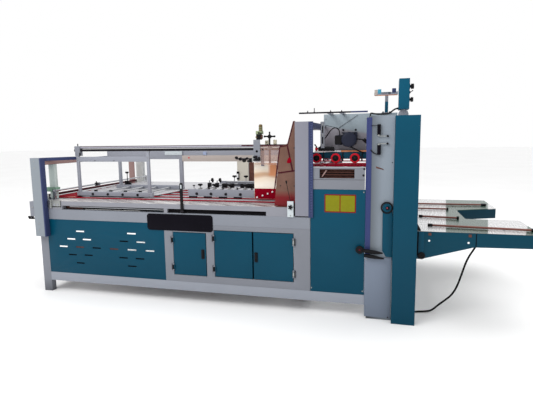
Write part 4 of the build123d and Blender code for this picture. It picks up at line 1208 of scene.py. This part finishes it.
# two tapered grips with their end disc
p.turn((3144, -18, 590), (0, -1, 0), [(0, 0), (30, 0), (33, 3), (33, 11), (30, 15), (20, 17), (12, 15), (0, 15)], BLACK, 40)
p.turn((3144, -33, 590), (0, -1, 0), [(0, 0), (10, 0), (8, 3), (0, 3.4)], MAROON, 20)
p.turn((3172, -36, 588), (1, 0, -0.10), [(0, 0), (12, 0), (15, 4), (16, 30), (15, 90), (11, 130), (6, 156), (0, 158)], BLACK, 28)
p.turn((3180, -36, 548), (1, 0, -0.12), [(0, 0), (10, 0), (14, 4), (15, 30), (14, 84), (10, 120), (6, 158), (0, 162)], BLACK, 28)
for z in (586, 540):
    p.box(3202, 3220, -32, 0, z - 7, z + 7, BLACK, 2)
# rotary knobs of the control box and its small lever
for z, r, L in ((1883, 20, 28), (1784, 18, 25)):
    p.turn((3500, 20, z), (1, 0, 0), [(0, 0), (r + 2, 0), (r + 2, 3), (r * 0.55, 4), (r * 0.55, 9), (r, 10), (r, L), (r - 3, L + 4), (0, L + 4)], BLACK, 30)
p.turn((3500, 16, 1838), (1, 0, 0), [(0, 0), (10, 0), (10, 5), (6, 8), (0, 8)], BLACK, 20)
p.turn((3507, 16, 1838), (0.8, 0, 0.6), [(0, 0), (3, 0), (3, 14), (4.5, 17), (4.5, 22), (0, 24)], BLACK, 14)
# lever under the infeed portal's switch box
p.box(-80, -20, -52, -36, 742, 758, BLACK, 3)
p.box(-48, -34, -45, -36, 750, 770, BLACK, 1.5)
p.done("frame", ["black_fittings"])

p = Piece("column_details")
for x, z in ((3386, 1300), (3386, 700), (3386, 60)):
    p.turn((x, 0, z), (0, -1, 0), [(0, 0), (4.5, 0), (4, 1), (0, 1.4)], BLACK, 14)
p.poly([(3262, 1270), (3262, 1256), (3312, 1244), (3322, 1240), (3318, 1250)], -1.5, 0, BROWN, 0.4)
for xa, xb, z0, z1 in ((3220, 3268, 1590, 1590), (3218, 3270, 1400, 1366)):
    p.tube([(xa, -4, z0), ((xa + xb) / 2, -12, (z0 + z1) / 2 - (0 if z0 == z1 else 8)), (xb, -14, z1)], 2.6 if z0 == z1 else 4.2, BLACK if z0 != z1 else DARK_STEEL, 8)
p.done("frame")

for nm, x in (("left", 2759), ("middle", 2922), ("right", 3083)):
    p = Piece("press_wheel_%s_tyre" % nm)
    p.turn((x, 165, 1328), (0, 1, 0), [(27, 0), (38.5, 0), (41, 2.5), (41, 37.5), (38.5, 40), (27, 40), (27, 0)], RED_PU, 56)
    p.turn((x, 165, 1328), (0, 1, 0), [(10.06, 1), (27, 1), (27, 39), (10.06, 39), (10.06, 1)], BLACK, 48)
    for k in range(6):
        a = radians(60 * k)
        p.turn((x + 19 * cos(a), 166, 1328 + 19 * sin(a)), (0, -1, 0), [(0, 0), (4.4, 0), (4.4, 1.4), (3, 2.4), (0, 2.4)], DARK_STEEL, 12)
    p.turn((x, 165, 1328), (0, -1, 0), [(10.06, 0), (15, 0), (15, 1.6), (12, 2.4), (10.06, 2.4)], BLACK, 28)
    p.done("press_wheel_" + nm, ["press_wheel_" + nm])

p = Piece("wheel_forks")
for x in (2759, 2922, 3083):
    p.turn((x, 157, 1328), (0, -1, 0), [(0, 0), (10, 0), (8, 3), (0, 4)], DARK_STEEL, 20)
    p.box(x + 50, x + 62, 206, 222, 1300, 1340, DARK_STEEL, 2)
    p.rod((x + 56, 214, 1340), (x + 56, 214, 1380), 3.5, DARK_STEEL)
p.done("frame")

p = Piece("press_belt_painted_light")
# painted light: pale red tops on the belts, a lit copy of the crimson belt
for y in (185.0, 700.0, 1240.0, 1755.0):
    p.box(2706, 3214, y - 19, y + 19, 1281, 1282.6, PINK, 0.5)
p.box(2704, 3184, 100, 163, 1262, 1272, CRIMSON, 2)
# painted highlight: pale strip along the side of the belts
p.box(2730, 3182, 60, 150, 1230, 1256, PALE, 2)
p.box(2730, 3182, 58, 150, 1246, 1250, DARK_STEEL, 0.5)
p.done("frame")

# guard plate with rounded top
p = Piece("guard_plate")
pts = [(3322, 590), (3320, 900)]
for k in range(13):
    a = radians(180 - 180 * k / 12)
    pts.append((3352 + 32 * cos(a), 942 + 32 * sin(a)))
pts += [(3394, 900), (3399, 860), (3400, 539), (3352, 539)]
p.poly(pts, -18, -12, TEAL, 1.2)
p.box(3360, 3390, -12, 0, 560, 600, GREY, 1)
p.done("frame", ["guard_bracket"])

# ---- top: strip with studs, stand, control box seam and lugs ------------
p = Piece("top_details")
p.box(2642, 3060, -11, 21, 1696.4, 1707.6, DARK_STEEL, 1)
p.box(3060, 3190, -11, 21, 1696.4, 1707.8, NAVY, 1)
for x, h in ((2712, 14), (2766, 34), (2898, 14), (2986, 12)):
    p.rod((x, 5, 1706), (x, 5, 1707 + h), 3.2, DARK_STEEL, 0.5, 12)
    p.hex((x, 5, 1706.5), (0, 0, 1), 11, 5, DARK_STEEL, False)
# stand
p.box(3317, 3344, 239, 266, 1702, 1790, TEAL, 1.5)
p.box(3317.5, 3343.5, 239.5, 265.5, 1790, 1846, GREY, 1.5)
for x in (3304, 3358):
    p.hex((x, 252, 1701), (0, 0, 1), 12, 8, DARK_STEEL)
p.box(3292, 3370, 238, 267, 1699, 1703, GREY, 1)
p.box(3232, 3256, 234, 271, 1843, 1889, BEIGE, 2)
p.box(3258, 3286, 234, 271, 1856, 1892, SKY, 3)
p.box(3286, 3366, 236, 269, 1850, 1868, TEAL, 2)
p.box(3372, 3404, 234, 271, 1860, 1896, NAVY, 3)
p.box(3406, 3420, 238, 267, 1850, 1874, PALE, 2)
p.box(3232, 3416, 237, 268, 1841, 1846, ORANGE, 1)
# lid seam and hinge lugs of the control box
p.box(3424, 3497, -31.2, -29.8, 1716, 1934, TEAL, 0.5)
for z in (1728, 1922):
    for x in (3431, 3490):
        p.turn((x, -31, z), (0, -1, 0), [(0, 0), (3.4, 0), (3, 1.2), (0, 1.4)], TEAL, 12)
p.turn((3421, 14, 1718.5), (-1, 0, 0), [(0, -1), (8, -1), (8, 5), (7.4, 8), (6.4, 12), (0, 12)], BLACK, 20)
p.done("frame")

# ---- outfeed ------------------------------------------------------------
p = Piece("outfeed_details")
# joint of the side plate, sensors, screws
p.box(4018, 4024, -1.5, 0, 650, 756, DARK, 0.4)
p.box(3588, 3640, -4, 0, 560, 756, TEAL, 1)
p.box(3588, 3600, -8, -3, 566, 752, DARK, 1)
for x, z in ((3683, 739), (3976, 737)):
    p.box(x - 11, x + 11, -6, 0, z - 11, z + 11, BROWN, 2)
for x, z in ((3680, 685), (3967, 681)):
    p.turn((x, 0, z), (0, -1, 0), [(0, 0), (8, 0), (8, 2), (5, 4), (0, 4)], WHITE_PL, 20)
p.poly([(3586, 760), (3586, 824), (3616, 769), (3616, 760)], 2, 8, BLACK, 1)
# end stops of the round belts
for x, y in ((3942, 1136), (3968, 613)):
    p.turn((x - 6, y, 769), (1, 0, 0), [(0, 0), (14, 0), (16, 3), (16, 13), (13, 18), (0, 18)], BLACK, 22)
p.rod((3690, 223, 769), (4440, 150, 769), 9, ROD, 1, 18)
p.turn((3684, 224, 769), (1, -0.09, 0), [(0, 0), (12, 0), (13, 3), (13, 34), (11, 38), (0, 38)], BLACK, 20)
p.turn((4436, 151, 769), (1, -0.09, 0), [(0, 0), (12, 0), (14, 3), (14, 20), (11, 26), (0, 26)], DARK_STEEL, 20)
p.rod((3645, 661, 769), (3968, 613, 769), 9, ROD, 1, 18)
p.turn((3640, 662, 769), (1, -0.14, 0), [(0, 0), (12, 0), (13, 3), (13, 30), (11, 34), (0, 34)], BLACK, 20)
p.rod((3600, 1140, 769), (3942, 1136, 769), 8, ROD, 1, 18)
p.rod((3600, 1475, 769), (4330, 1496, 769), 9, ROD, 1, 18)
p.turn((4322, 1496, 770), (1, 0, 0), [(0, 0), (12, 0), (13, 4), (13, 40), (9, 52), (0, 54)], DARK_STEEL, 20)
for x, y in ((3750, 219), (4250, 172), (3700, 652), (3700, 1139), (3800, 1480), (4200, 1492)):
    p.box(x - 8, x + 8, y - 8, y + 8, 757, 764, STEEL, 1)
p.done("frame", ["fork_rods"])

p = Piece("fork_edges")
p.box(3592, 4478, 0.5, 9.5, 753, 757.6, DARK_STEEL, 0.5)
p.box(4126, 4160, 288, 312, 735, 751, BLACK, 2)
p.done("frame")

# ---- rear and far pieces seen over the table ----------------------------
p = Piece("far_side_details")
p.box(1114, 2640, 974, 980.5, 1259, 1326, BEIGE, 2)
p.box(1114, 1128, 976, 980.5, 1326, 1376, GREY, 1)
p.box(900, 1112, 974, 980.4, 1330, 1372, PALE, 2)
p.box(1370, 1410, 970, 980.2, 1330, 1366, PALE_BLUE, 1)
p.turn((1197, 974, 1300), (0, -1, 0), [(0, 0), (9, 0), (8, 3), (0, 4)], RED_PU, 18)
# cream plate of the far post, dark post beside it and a small instrument
p.box(1451, 1607, DEPTH - 48, DEPTH - 45.5, 930, 1296, SPECKLE, 1)
p.box(1614, 1676, DEPTH - 42, DEPTH - 10, 921, 1200, BROWN, 2)
p.box(1449, 1478, DEPTH - 70, DEPTH - 46, 975, 1080, BLACK, 3)
p.box(1453, 1473, DEPTH - 74, DEPTH - 68, 1000, 1052, WHITE_PL, 2)
p.done("frame")
